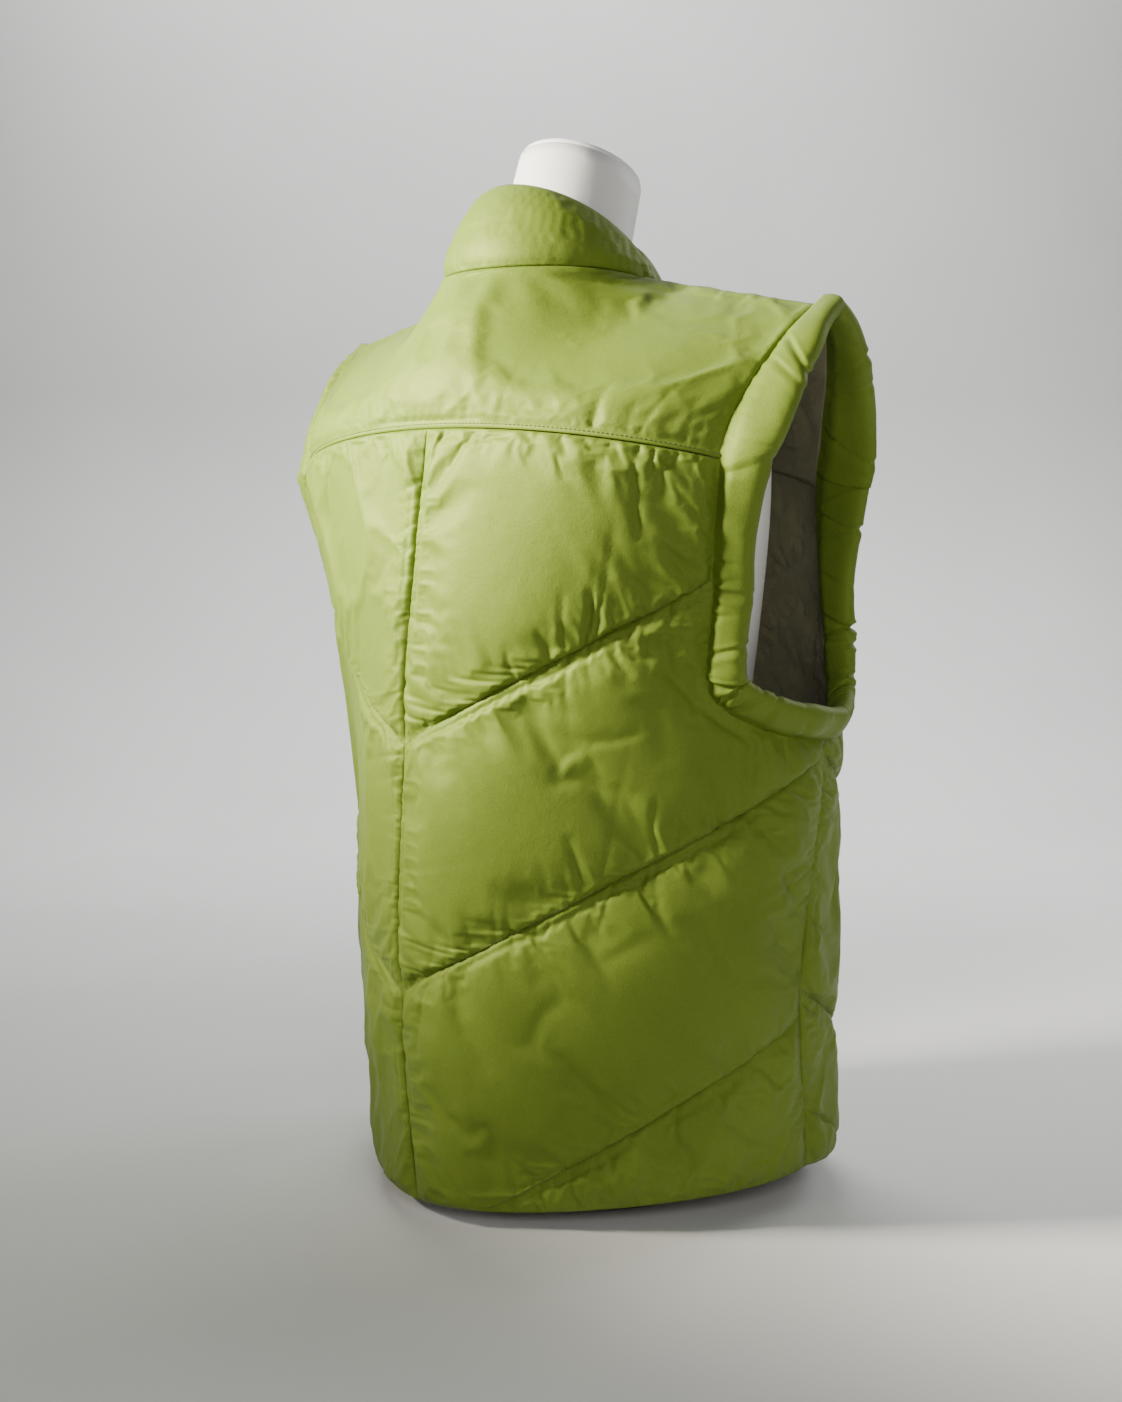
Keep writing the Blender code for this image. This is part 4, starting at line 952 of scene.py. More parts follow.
def front_yoke(name, side, seed):
    shares = spread(ZIP_HALF / FRONT_WIDTH, 1, STEP / 0.19)
    rises = spread(0, 1, STEP / 0.15)
    grid = relaxed(yoke_points(shares[:, None], rises[None], side, True), RELAXING)
    field = 0.0008 * bumps(grid.reshape(-1, 3), 0.08, seed)
    grid_piece(name, grid, YOKE_MIDDLE, CROWN, 0.050, field, seed + 1, (0.9, 0.7, 0.7), MARGIN)


def collar():
    half = spread(0, float(zip_turn(ZIP_HALF)), STEP / 0.078)
    turns = np.concatenate([-half[:0:-1], half])
    rises = spread(0, 1, STEP * 0.8 / COLLAR_HEIGHT)
    grid = collar_points(turns[:, None], rises[None])
    place = turns[:, None] + 0 * rises[None]
    crease = -0.0009 * np.exp(-((rises[None] - 0.50 + 0.05 * np.sin(3 * place)) / 0.06)**2)
    crease *= 0.5 + 0.5 * np.cos(place - 0.4)
    pinch = -0.0030 * np.exp(-((place - 0.62) / 0.10)**2) * ease(0.5, 1.0, rises[None])
    field = crease + pinch + 0.0002 * bumps(grid.reshape(-1, 3), 0.06, 81).reshape(place.shape)
    grid_piece("cloth_collar", grid, (0, 0, 0.73), 0.0050, 0.022, field, 82, (0.5, 0.15, 0.15),
               settings={"pressure": 1.5, "growth": 0.015})


# ---------------------------------------------------------------- armhole bands

def armhole_edge(side, front):
    """Points and outward normals along half an armhole, from the shoulder to the underarm."""
    rises = np.linspace(1, 0, 40)
    near = yoke_points(np.array([1.0, 0.97])[:, None], rises[None], side, front)
    above = yoke_points(1.0, np.minimum(rises + 0.03, 1), side, front)
    below = yoke_points(1.0, np.maximum(rises - 0.03, 0), side, front)
    normals = np.cross(near[0] - near[1], above - below)
    flat = respaced(armhole_line(front), STEP)[1:]
    points, body_normals = on_body(flat, side, front)
    points = np.concatenate([near[0], points])
    normals = unit(np.concatenate([normals, body_normals]))
    level = np.abs(normals[:, 2:]) <= 0.8
    outward = np.where(level, points * np.array((1, 1, 0)), np.array((0, 0, 1.0)))
    normals *= np.sign((normals * outward).sum(1, keepdims=True))
    both = respaced(np.concatenate([points, 0.01 * normals], 1), BAND_STEP)
    return both[:, :3], unit(both[:, 3:])


def band_direction(points, side):
    """Which way a band stands off its seam: sideways, leaning towards the armhole's middle."""
    aim = unit(np.stack([ARMHOLE_MIDDLE[0] - points[:, 1], ARMHOLE_MIDDLE[1] - points[:, 2]], 1))
    leans = [np.where(aim[:, 0] < 0, BAND_LEAN["back"], BAND_LEAN["front"]),
             np.where(aim[:, 1] > 0, BAND_LEAN["underarm"], BAND_LEAN["shoulder"])]
    level, upright = (aim * abs(aim) * np.stack(leans, 1)).T
    return unit(np.stack([np.full(len(points), float(side)), level, upright], 1))


BAND_SIDES = 36
BAND_STEP = 0.0026
BAND_FLAT = 0.0165             # thickness of a band as worn
BAND_SQUARE = 0.80             # how square its section is: 1 is an ellipse
LEFT_BAND_DROOP = 0.9          # how much the left band leans down above these heights
LEFT_DROOP_HEIGHTS = (0.50, 0.62)
PINCH_DEPTH = 0.85 * MM        # a pinch's real depth and half width for each in its table
PINCH_WIDTH = 0.62 * MM
# Pinched places of the bands.  Columns: height, depth and half width in millimetres, slant.
BAND_FOLDS = {
    "back": (
        (0.640, 2.6, 3.5, 0.7), (0.628, 1.6, 3.0, 0.4), (0.560, 1.0, 4.0, -0.3),
        (0.472, 2.2, 3.0, 0.1), (0.432, 1.6, 3.0, -0.3), (0.404, 4.0, 3.2, 0.3),
        (0.396, 2.8, 2.6, -0.4), (0.386, 3.8, 3.2, 0.5), (0.376, 2.0, 3.0, 0.1),
        (0.368, 1.4, 3.5, -0.3),
    ),
    "front": (
        (0.640, 2.4, 3.5, -0.8), (0.626, 3.0, 3.2, -0.6), (0.590, 1.4, 4.0, 0.2),
        (0.556, 4.2, 3.2, 0.1), (0.545, 2.6, 2.6, -0.4), (0.524, 4.4, 3.0, 0.3),
        (0.514, 2.4, 2.6, -0.2), (0.480, 1.4, 4.0, 0.5), (0.446, 4.6, 3.2, 0.5),
        (0.436, 5.2, 2.8, -0.3), (0.428, 3.0, 2.6, 0.2), (0.400, 4.0, 3.2, 0.1),
        (0.384, 3.4, 3.2, -0.4),
    ),
}


def band_frame(points, normals, side, front):
    """Directions at each place of a band: along it, out from its seam and through it."""
    forwards = 1 if front else -1
    along = unit(np.gradient(points, axis=0))
    shoulder = np.array((0, -forwards, 0))
    underarm = np.cross((0, 0, 1), normals[-1]) * side * forwards
    for end, straight in ((points[0], shoulder), (points[-1], underarm)):
        blend = ease(0, BAND_TURN, np.linalg.norm(points - end, axis=1))[:, None]
        along = straight * (1 - blend) + along * blend
    along = unit(along)
    out = band_direction(points, side)
    if side > 0:
        out[:, 2] -= LEFT_BAND_DROOP * ease(*LEFT_DROOP_HEIGHTS, points[:, 2])
    out = unit(out - along * (out * along).sum(1, keepdims=True))
    thick = np.cross(along, out)
    return along, out, thick * np.sign((thick * normals).sum(1, keepdims=True))


def tube_faces(count):
    """Four-sided faces round a tube of this many rings, and a fan at each end."""
    faces = []
    for i in range(count - 1):
        for k in range(BAND_SIDES):
            a, b = i * BAND_SIDES + k, i * BAND_SIDES + (k + 1) % BAND_SIDES
            faces.append((a, b, b + BAND_SIDES, a + BAND_SIDES))
    edge, first = (count - 1) * BAND_SIDES, count * BAND_SIDES
    for k in range(BAND_SIDES):
        after = (k + 1) % BAND_SIDES
        faces += [(after, k, first), (edge + k, edge + after, first + 1)]
    return faces


def band_creases(values, pinches, seed):
    """Depth of a band's puckers along both edges and of its pinched places."""
    place, from_seam, from_edge, from_end, cosine, sine = values.T
    total = -gathers(place, from_seam, seed, BAND_SEAM_PUCKERS)
    total -= gathers(place, from_edge, seed + 1, BAND_EDGE_PUCKERS)
    for number, (start, depth, half, slant) in enumerate(pinches):
        turned = 1.57 * (number % 2) + 0.8
        facing = 0.35 + 0.65 * ease(-0.6, 0.7, cosine * cos(turned) + sine * sin(turned))
        off = place - start - slant * (from_seam - from_edge) / 2
        share = np.abs(off) / (half * PINCH_WIDTH * np.where(off > 0, 1.5, 0.7))
        ridge = 0.30 * np.exp(-(share - 2.3)**2)
        total += depth * PINCH_DEPTH * facing * (np.exp(-share**1.3) - ridge)
    return total * ease(0, 0.010, np.minimum(place, from_end)) * ease(0.0, 0.003, from_seam)


def band(name, side, front, seed):
    """A padded tube along half an armhole, held where it is sewn in, split and puckered."""
    points, normals = armhole_edge(side, front)
    along, out, thick = band_frame(points, normals, side, front)
    key = "front" if front else "back"
    swell, level, spread_out = BAND_SWELL[key, side]
    width = BAND_WIDTH + swell * np.exp(-((points[:, 2] - level) / spread_out)**2)
    width -= BAND_TAPER * ease(BAND_TAPER_HEIGHT, SHOULDER_TIP[2], points[:, 2])
    stand = SEAM * np.maximum((normals * out).sum(1), 0) + width / 2 - BAND_LAP
    centre = points + out * stand[:, None] + thick * (SEAM / 2)
    # a flat section with rounded edges, pinched to the seam's thickness where it is sewn in
    turn = 2 * pi * np.arange(BAND_SIDES) / BAND_SIDES
    across, lift = (np.sign(wave) * np.abs(wave)**BAND_SQUARE
                    for wave in (np.cos(turn), np.sin(turn)))
    lift *= 0.40 + 0.60 * ease(-1.0, -0.3, across)
    tube = (centre[:, None] + out[:, None] * (width / 2)[:, None, None] * across[None, :, None]
            + thick[:, None] * (BAND_FLAT / 2) * lift[None, :, None])
    inwards = centre[:, None] - tube
    inwards /= np.linalg.norm(inwards, axis=2, keepdims=True)
    length = lengths_along(points)
    place = length[:, None] + 0 * turn[None]
    from_seam = (width[:, None] / 2) * (1 + across[None])
    dent = 0.0005 * bumps(tube.reshape(-1, 3), 0.035, seed + 3).reshape(place.shape)
    dent *= ease(0, 0.012, np.minimum(place, length[-1] - place))
    tube += inwards * dent[:, :, None]
    laid = np.concatenate([tube.reshape(-1, 3), centre[:1], centre[-1:]])
    count = len(points)
    held = np.zeros(len(laid), bool)
    held[:count * BAND_SIDES] = np.tile(across < -0.93, count)
    held[:BAND_SIDES] = held[(count - 1) * BAND_SIDES:] = True

    draft = mesh_object(name, laid, tube_faces(count))
    face_outwards(draft.data)
    faces = []
    for polygon in draft.data.polygons:
        corners = tuple(polygon.vertices)
        faces += [corners[:3]] + ([(corners[0], *corners[2:])] if len(corners) == 4 else [])
    remove(draft)

    columns = [place, from_seam, width[:, None] - from_seam, length[-1] - place,
               np.cos(turn)[None] + 0 * place, np.sin(turn)[None] + 0 * place]
    values = np.stack([column.ravel() for column in columns], 1)
    values = np.concatenate([values, values[:1], values[-1:]])
    up = np.concatenate([-inwards.reshape(-1, 3), -along[:1], along[-1:]])
    pinches = [(length[np.abs(points[:, 2] - height).argmin()], depth, half, slant)
               for height, depth, half, slant in BAND_FOLDS[key]]
    points, fine, _ = split(laid, np.array(faces), held)
    creases = band_creases(spread_over(values, faces), pinches, seed)
    points -= spread_over(up, faces) * creases[:, None]
    thing = mesh_object(name, points, fine.tolist())
    face_outwards(thing.data)
    return thing


# ---------------------------------------------------------------- materials

def node(tree, kind, **values):
    made = tree.nodes.new(kind)
    for key, value in values.items():
        if hasattr(made, key):
            setattr(made, key, value)
        else:
            made.inputs[key.replace("_", " ")].default_value = value
    return made


def noise(tree, scale, detail=3.0, rough=0.5):
    place = node(tree, "ShaderNodeTexCoord")
    made = node(tree, "ShaderNodeTexNoise", Scale=scale, Detail=detail, Roughness=rough)
    tree.links.new(place.outputs["Object"], made.inputs["Vector"])
    return made.outputs["Fac"]


def weave(tree, scale):
    """Crossed fine threads."""
    place = node(tree, "ShaderNodeTexCoord")
    both = node(tree, "ShaderNodeMath", operation="MULTIPLY")
    for number, axis in enumerate("ZX"):
        wave = node(tree, "ShaderNodeTexWave", Scale=scale, Distortion=1.5, Detail_Scale=2.0)
        wave.bands_direction = axis
        tree.links.new(place.outputs["Object"], wave.inputs["Vector"])
        tree.links.new(wave.outputs["Fac"], both.inputs[number])
    return both.outputs[0]


def ramp(tree, source, stops, target):
    """Two colours from a texture, led into an input of the shader."""
    made = node(tree, "ShaderNodeValToRGB")
    for element, (place, colour) in zip(made.color_ramp.elements, stops):
        element.position = place
        element.color = (*colour, 1.0)
    tree.links.new(source, made.inputs["Fac"])
    tree.links.new(made.outputs["Color"], target)


GRAIN_SHARE = 0.45


def material_of(name, tint, dark, light, rough, bumped=(), places=(0.3, 0.7), grain=None,
                gloss=None, **inputs):
    """A material of two tones, with roughness and bumps.

    tint, grain and gloss are the scale, detail and roughness of a noise: of the tones, of a
    finer one mixed into them and of the shine.  rough is one value, or the lowest and the
    highest.  A row of bumped is a texture, a distance and a strength; the texture is a
    noise, the scale of a weave or None for the tint itself.
    """
    material = bpy.data.materials.new(name)
    material.use_nodes = True
    tree = material.node_tree
    shader = tree.nodes["Principled BSDF"]
    tone = shade = noise(tree, *tint)
    if grain:
        mixed = node(tree, "ShaderNodeMix", data_type="FLOAT")
        mixed.inputs["Factor"].default_value = GRAIN_SHARE
        tree.links.new(tone, mixed.inputs[2])
        tree.links.new(noise(tree, *grain), mixed.inputs[3])
        shade = mixed.outputs[0]
    ramp(tree, shade, zip(places, (dark, light)), shader.inputs["Base Color"])
    if isinstance(rough, tuple):
        source = noise(tree, *gloss) if gloss else tone
        stops = [(place, (value,) * 3) for place, value in zip((0.2, 0.8), rough)]
        ramp(tree, source, stops, shader.inputs["Roughness"])
    else:
        shader.inputs["Roughness"].default_value = rough
    for key, value in inputs.items():
        shader.inputs[key.replace("_", " ")].default_value = value
    normal = None
    for texture, distance, strength in bumped:
        if isinstance(texture, tuple):
            height = noise(tree, *texture)
        else:
            height = weave(tree, texture) if texture else tone
        bump = node(tree, "ShaderNodeBump", Strength=strength, Distance=distance)
        tree.links.new(height, bump.inputs["Height"])
        if normal:
            tree.links.new(normal, bump.inputs["Normal"])
        normal = bump.outputs["Normal"]
    if normal:
        tree.links.new(normal, shader.inputs["Normal"])
    return material


MATERIALS = {
    "shell": material_of(
        "olive_shell_cloth", (9.0, 4.0, 0.55), (0.098, 0.145, 0.017), (0.146, 0.207, 0.027),
        (0.50, 0.62), (((55.0, 4.0, 0.6), 0.0016, 0.35), (420.0, 0.00012, 0.35),
                       ((1400.0, 2.0, 0.6), 0.00030, 0.60)),
        grain=(900.0, 1.0), gloss=(60.0, 3.0), Specular_IOR_Level=0.42,
        Specular_Tint=(0.80, 0.90, 0.22, 1.0)),
    "lining": material_of(
        "dark_lining", (12.0, 4.0, 0.55), (0.190, 0.178, 0.100), (0.260, 0.242, 0.140), 0.42,
        (((38.0, 5.0, 0.62), 0.006, 0.5), (420.0, 0.00012, 0.3)), (0.25, 0.75),
        Sheen_Weight=0.15),
    # painted shade: the thread is coloured darker than the shell cloth, so the stitches carry the
    # shadow that falls round them
    "yarn": material_of(
        "thread", (300.0, 2.0), (0.050, 0.068, 0.012), (0.085, 0.112, 0.022), 0.6,
        (((2500.0, 1.0), 0.0002, 0.5),)),
    "tape": material_of(
        "zip_tape_cloth", (120.0, 3.0), (0.115, 0.135, 0.045), (0.155, 0.180, 0.062), 0.8,
        ((300.0, 0.0003, 0.7),)),
    "nylon": material_of(
        "zip_teeth_nylon", (200.0, 2.0), (0.10, 0.118, 0.040), (0.14, 0.160, 0.055), 0.35,
        ((None, 0.0001, 0.3),)),
    "metal": material_of(
        "zip_metal_worn", (700.0, 3.0), (0.42, 0.42, 0.40), (0.55, 0.55, 0.53), (0.24, 0.42),
        ((None, 0.0001, 0.25),), Metallic=1.0),
    "white": material_of(
        "form_white_matte", (6.0, 4.0), (0.72, 0.71, 0.69), (0.80, 0.79, 0.77), 0.55,
        (((450.0, 4.0, 0.6), 0.0003, 0.25),)),
    "dark": material_of(
        "stand_dark_paint", (40.0, 4.0), (0.030, 0.032, 0.026), (0.048, 0.050, 0.040),
        (0.35, 0.50), (((900.0, 2.0), 0.0002, 0.3),)),
    "floor": material_of(
        "pale_floor", (3.0, 4.0), (0.70, 0.70, 0.69), (0.74, 0.74, 0.73), 0.8),
}


# ---------------------------------------------------------------- stitches and teeth

def row_group(name, scale):
    """Node group that sets a small rounded piece of this scale at even steps along a line."""
    group = bpy.data.node_groups.new(name, "GeometryNodeTree")

    def socket(label, kind, way="INPUT"):
        return group.interface.new_socket(label, in_out=way, socket_type="NodeSocket" + kind)

    socket("Geometry", "Geometry")
    spacing, paint = socket("Spacing", "Float"), socket("Material", "Material")
    socket("Geometry", "Geometry", "OUTPUT")
    start, finish = group.nodes.new("NodeGroupInput"), group.nodes.new("NodeGroupOutput")
    curve, steps, ball, place, real, smooth, colour = (
        group.nodes.new("GeometryNode" + kind)
        for kind in ("MeshToCurve", "CurveToPoints", "MeshUVSphere", "InstanceOnPoints",
                     "RealizeInstances", "SetShadeSmooth", "SetMaterial"))
    steps.mode = "LENGTH"
    ball.inputs["Segments"].default_value = 6
    ball.inputs["Rings"].default_value = 4
    ball.inputs["Radius"].default_value = 1.0
    place.inputs["Scale"].default_value = scale
    for source, output, target, entry in (
            (start, "Geometry", curve, "Mesh"), (curve, "Curve", steps, "Curve"),
            (start, "Spacing", steps, "Length"), (steps, "Points", place, "Points"),
            (steps, "Rotation", place, "Rotation"), (ball, "Mesh", place, "Instance"),
            (place, "Instances", real, "Geometry"), (real, "Geometry", smooth, "Geometry"),
            (smooth, "Geometry", colour, "Geometry"), (start, "Material", colour, "Material"),
            (colour, "Geometry", finish, "Geometry")):
        group.links.new(source.outputs[output], target.inputs[entry])
    return group, spacing.identifier, paint.identifier


def row_of(name, lines, group, spacing, material):
    """One object of small pieces along several polylines."""
    tree, spacing_id, paint_id = group
    points, edges = [], []
    for line in lines:
        first = len(points)
        points += [tuple(point) for point in line]
        edges += [(first + i, first + i + 1) for i in range(len(line) - 1)]
    mesh = bpy.data.meshes.new(name)
    mesh.from_pydata(points, edges, [])
    thing = bpy.data.objects.new(name, mesh)
    bpy.context.scene.collection.objects.link(thing)
    step = thing.modifiers.new("row", "NODES")
    step.node_group = tree
    step[spacing_id] = spacing
    step[paint_id] = material
    return apply_all(thing)


def sewn_on(flat, side, front, cloth, lift):
    """A flat line on a body piece's pattern, brought onto the finished cloth."""
    points, normals = on_body(flat, side, front)
    tree = BVHTree.FromObject(cloth, bpy.context.evaluated_depsgraph_get())
    rows = []
    for point, normal in zip(points, normals):
        hit = tree.ray_cast(Vector(point + normal * 0.020), Vector(-normal), 0.024)[0]
        rows.append(point + normal * SEAM if hit is None else np.array(hit) + normal * lift)
    return np.array(rows)


# ---------------------------------------------------------------- zip

def zip_points(across):
    """A line up the closed front at a distance from the zip's middle."""
    side = 1 if across > 0 else -1
    heights = np.linspace(front_hem_height(0.0), FRONT_YOKE_HEIGHT, 110)[:-1]
    low = sample(BODY_GRID, side * (half_girth(heights) - abs(across)), heights)
    rises = np.linspace(0, 1 - BEND_SHARE, 30)
    middle = yoke_points(abs(across) / FRONT_WIDTH, rises, side, True)
    rises = np.linspace(BEND_SHARE, 0.995, 14)
    high = collar_points(side * zip_turn(abs(across)), rises)
    return respaced(np.concatenate([low, middle, high]), 0.004)


TAPE_EDGES = (TAPE_INNER, 0.0045, ZIP_HALF)
TAPE_RISES = (0.0011, 0.0012, 0.0011)
TEETH_APART = 0.55 * CHAIN_HALF
TEETH_OUT = np.array((0, -1, 0.12)) * CHAIN_THICKNESS * 0.55
TEETH_STEP = 0.0013
TEETH_SHIFT = 0.0006          # how far one row of teeth is set up against the other


def zip_tape(word, side):
    edges = [zip_points(side * across) for across in TAPE_EDGES]
    count = min(len(edge) for edge in edges)
    wanted = np.linspace(0, 1, count)
    grid = np.array([np.stack([np.interp(wanted, np.linspace(0, 1, len(edge)), edge[:, k])
                               for k in range(3)], 1) for edge in edges])
    top = grid + grid_normals(grid, (0, 0.05, 0.35)) * np.array(TAPE_RISES)[:, None, None]
    faces = grid_faces(3, count)
    total, rim = 3 * count, loop_of(faces)
    every = faces + [tuple(total + i for i in reversed(face)) for face in faces]
    every += [(a, total + a, total + b, b) for a, b in zip(rim, rim[1:] + rim[:1])]
    points = np.concatenate([top.reshape(-1, 3), grid.reshape(-1, 3)])
    thing = mesh_object("tape_" + word, points, every)
    face_outwards(thing.data)
    thing.data.materials.append(MATERIALS["tape"])
    return thing


def zip_teeth():
    """Two interlocked rows of coil teeth, one from each side."""
    middle, left, right = (zip_points(across) for across in (0.0001, TEETH_APART, -TEETH_APART))
    count = min(len(left), len(right), len(middle))
    lines = [line[:count] + TEETH_OUT + np.array((0, 0, shift))
             for line, shift in ((left, 0.0), (right, TEETH_SHIFT))]
    group = row_group("tooth_row", (0.0019, 0.0011, 0.0005))
    return row_of("teeth", lines, group, TEETH_STEP, MATERIALS["nylon"])


# ---------------------------------------------------------------- build

SIDES = ((-1, "right"), (1, "left"))
PANEL_SEEDS = {("back", -1): 100, ("back", 1): 200, ("front", -1): 300, ("front", 1): 400}
STITCH_STEP = 0.0034
# Columns: node, material, slot, body, angle from which an edge is rounded, rounding.
HARD_PIECES = (
    ("zip_slider", "metal", "zip_metal", BODY, 40, 0.0004),
    ("zip_pull", "metal", "zip_metal", "pull", 40, 0.0003),
    ("form_torso", "white", "form_white", BODY, 50, 0.0),
    ("form_cap", "white", "form_white", BODY, 50, 0.0012),
    ("stand_pole", "dark", "stand_dark", BODY, 50, 0.0008),
    ("stand_base", "dark", "stand_dark", BODY, 50, 0.0012),
)


def finish_piece(thing, replaced=None, body=BODY):
    """Hides the solid a piece stands for, if any, and attaches the piece to the body it rides on.
    """
    if replaced:
        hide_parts(replaced)
    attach(thing, body)


def stitches(key, side, word, lines, pieces, group):
    """The stitches of a body panel's quilt lines, and of the yoke above it."""
    front = key == "front"
    cloth = pieces["cloth_%s_%s" % (key, word)]
    rows = [sewn_on(line[1:-1], side, front, cloth, 0.0) for line in lines]
    top = FRONT_YOKE_HEIGHT if front else BACK_YOKE_HEIGHT
    width = FRONT_WIDTH if front else BACK_WIDTH
    shares = np.linspace(ZIP_HALF / FRONT_WIDTH if front else 0.0, 1, 80)
    flat = np.stack([shares * width, yoke_height(shares, top) + MARGIN], 1)
    yoke = pieces["cloth_front_yoke_" + word if front else "cloth_back_yoke"]
    rows.append(sewn_on(flat, side, front, yoke, 0.0002))
    return row_of("stitches_%s_%s" % (key, word), rows, group, STITCH_STEP, MATERIALS["yarn"])


def build():
    quilting = {}
    for side, word in SIDES:
        for key in ("back", "front"):
            quilting[key, side, word] = body_panel(
                "cloth_%s_%s" % (key, word), side, key == "front", PANEL_SEEDS[key, side])
    back_yoke()
    for side, word in SIDES:
        front_yoke("cloth_front_yoke_" + word, side, 520 + side * 10)
    collar()
    pieces = settle()
    for thing in pieces.values():
        thing.data.materials.append(MATERIALS["shell"])
        thing.data.materials.append(MATERIALS["lining"])
    for side, word in SIDES:
        for front, key in enumerate(("back", "front")):
            name = "cloth_band_%s_%s" % (word, key)
            pieces[name] = band(name, side, bool(front), 640 + side * 20 + front * 5)
            pieces[name].data.materials.append(MATERIALS["shell"])
    for name, thing in pieces.items():
        finish_piece(thing, name.replace("cloth_", ""))

    group = row_group("stitch_row", (0.00048, 0.00042, 0.0012))
    for (key, side, word), lines in quilting.items():
        finish_piece(stitches(key, side, word, lines, pieces, group))
    for side, word in SIDES:
        finish_piece(zip_tape(word, side), "zip_tape_" + word)
    finish_piece(zip_teeth(), "zip_chain")
    for name, material, slot, body, angle, rounding in HARD_PIECES:
        thing = rounded_copy(name, angle, rounding)
        thing.data.materials.clear()
        thing.data.materials.append(MATERIALS[material])
        finish_piece(thing, name, body)


def rounded_copy(name, angle, rounding):
    """A copy of a hard solid with its points joined, its edges rounded and its sides smooth."""
    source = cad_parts[name]
    thing = bpy.data.objects.new("smooth_" + name, source.data.copy())
    bpy.context.scene.collection.objects.link(thing)
    form = bmesh.new()
    form.from_mesh(thing.data)
    bmesh.ops.remove_doubles(form, verts=form.verts, dist=0.00001)
    bmesh.ops.recalc_face_normals(form, faces=form.faces)
    bmesh.ops.dissolve_limit(form, angle_limit=radians(1.0), verts=form.verts, edges=form.edges)
    form.to_mesh(thing.data)
    form.free()
    thing.data.shade_smooth()
    if rounding:
        bevel = thing.modifiers.new("rounding", "BEVEL")
        bevel.width = rounding
        bevel.segments = 3
        bevel.angle_limit = radians(angle)
        bevel.harden_normals = True
    else:
        crease = thing.data.attributes.new("crease_edge", "FLOAT", "EDGE")
        crease.data.foreach_set("value", sharp_edges(thing.data, radians(angle)))
        finer = thing.modifiers.new("finer", "SUBSURF")
        finer.levels = finer.render_levels = 2
    return apply_all(thing)


def sharp_edges(mesh, angle):
    """1 for each edge whose faces meet at more than the angle, 0 for the others."""
    form = bmesh.new()
    form.from_mesh(mesh)
    sharp = [1.0 if edge.calc_face_angle(0.0) > angle else 0.0 for edge in form.edges]
    form.free()
    return sharp


# ---------------------------------------------------------------- floor, light and camera

CAMERA_TURN = radians(41.64)
CAMERA_REACH = 1.5344
CAMERA_HEIGHT = 0.5047
CAMERA_PITCH = radians(-4.61)
CAMERA_YAW = radians(-0.286)
CAMERA_ROLL = radians(0.30)
CAMERA_FOCUS = 1952.5        # focal length in pixels of a frame this many high
FRAME_HEIGHT = 1402
SENSOR = 36.0
UP = Vector((0, 0, 1))
AWAY = Vector((sin(CAMERA_TURN), -cos(CAMERA_TURN), 0))
FLOOR_FRONT, FLOOR_BACK, FLOOR_SIDE = -3.0, 1.6, 3.5
FLOOR_BEND = 0.8             # radius of the curve up into the backdrop
BACKDROP_TOP = 3.2
# Columns: name, place, what it points at, size, power, colour, spread in degrees.
LAMPS = (
    ("key", (0.74, 1.00, 1.04), (0.02, 0.10, 0.62), 0.32, 9.5, (1.0, 0.94, 0.78), 44),
    ("camera_side", (-1.45, 1.25, 0.95), (-0.10, -0.05, 0.45), 0.5, 9, (1, 1, 1), 180),
    ("front", (-0.5, -1.9, 1.6), (0, 0, 0.42), 1.2, 18, (1, 1, 1), 180),
    ("fill", (-1.75, 0.75, 0.75), (0, 0, 0.45), 1.2, 5.5, (1.0, 0.96, 0.88), 180),
    ("backdrop_light", (1.4, -1.2, 2.6), (1.2, -1.9, 0.6), 1.8, 60, (1, 1, 1), 124),
)
SKY_COLOUR = (0.85, 0.86, 0.88, 1.0)
SKY_STRENGTH = 0.09


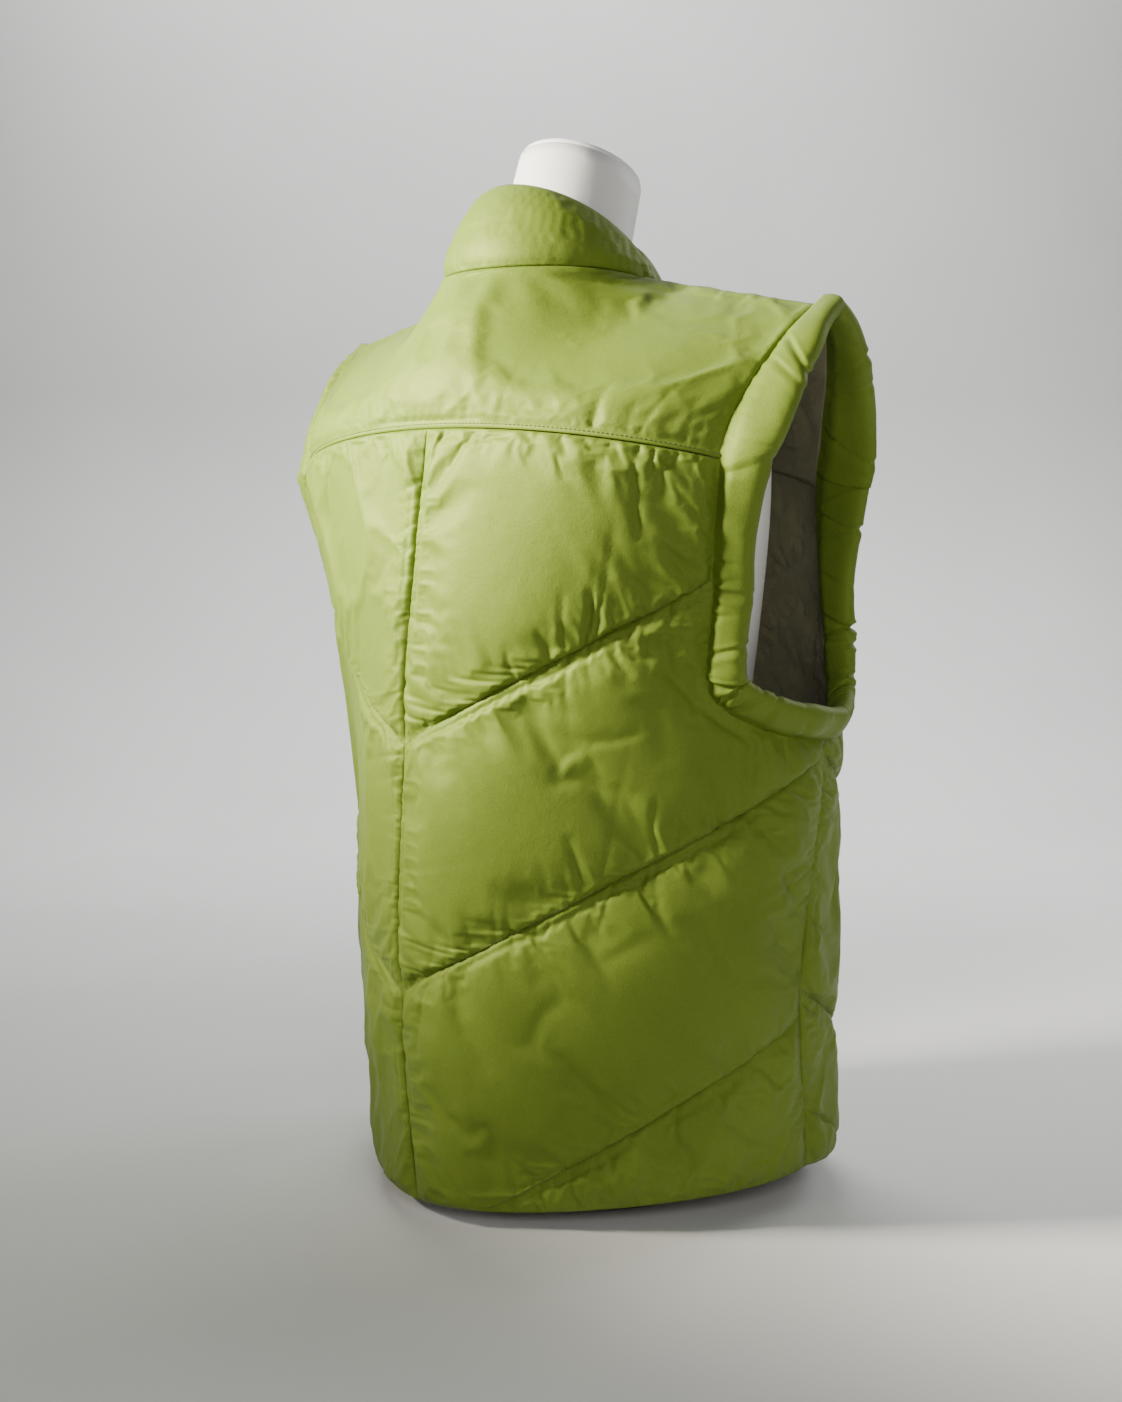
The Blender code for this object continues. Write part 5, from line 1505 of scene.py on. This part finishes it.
def stage():
    """A pale floor that curves up behind into a backdrop."""
    profile = [(FLOOR_FRONT, 0.0), (FLOOR_BACK, 0.0)]
    for k in range(1, 13):
        turn = k / 12 * pi / 2
        profile.append((FLOOR_BACK + FLOOR_BEND * sin(turn), FLOOR_BEND - FLOOR_BEND * cos(turn)))
    profile.append((FLOOR_BACK + FLOOR_BEND, BACKDROP_TOP))
    right = AWAY.cross(UP)
    points = [AWAY * forwards + right * reach + UP * height
              for reach in (-FLOOR_SIDE, FLOOR_SIDE) for forwards, height in profile]
    count = len(profile)
    faces = [(k, k + 1, count + k + 1, count + k) for k in range(count - 1)]
    floor = mesh_object("floor", points, faces)
    floor.data.materials.append(MATERIALS["floor"])


def lights():
    for name, place, target, size, power, colour, spread_angle in LAMPS:
        light = bpy.data.lights.new(name, "AREA")
        light.spread = radians(spread_angle)
        light.shape = "RECTANGLE"
        light.size = light.size_y = size
        light.energy = power
        light.color = colour
        thing = bpy.data.objects.new(name, light)
        thing.location = place
        aim = Vector(target) - Vector(place)
        thing.rotation_euler = aim.to_track_quat("-Z", "Y").to_euler()
        bpy.context.scene.collection.objects.link(thing)
    world = bpy.data.worlds.new("studio")
    world.use_nodes = True
    background = world.node_tree.nodes["Background"]
    background.inputs["Color"].default_value = SKY_COLOUR
    background.inputs["Strength"].default_value = SKY_STRENGTH
    bpy.context.scene.world = world


def camera():
    place = -AWAY * CAMERA_REACH + UP * CAMERA_HEIGHT
    level = Matrix.Rotation(CAMERA_YAW, 3, "Z") @ AWAY
    right = level.cross(UP)
    forward = level * cos(CAMERA_PITCH) + UP * sin(CAMERA_PITCH)
    upward = right.cross(forward)
    tilted_right = right * cos(CAMERA_ROLL) + upward * sin(CAMERA_ROLL)
    tilted_up = -right * sin(CAMERA_ROLL) + upward * cos(CAMERA_ROLL)
    lens = bpy.data.cameras.new("camera")
    lens.sensor_fit = "VERTICAL"
    lens.sensor_height = SENSOR
    lens.lens = SENSOR * CAMERA_FOCUS / FRAME_HEIGHT
    thing = bpy.data.objects.new("camera", lens)
    turn = Matrix((tilted_right, tilted_up, -forward)).transposed()
    thing.matrix_world = Matrix.Translation(place) @ turn.to_4x4()
    bpy.context.scene.collection.objects.link(thing)
    bpy.context.scene.camera = thing


build()
stage()
lights()
camera()
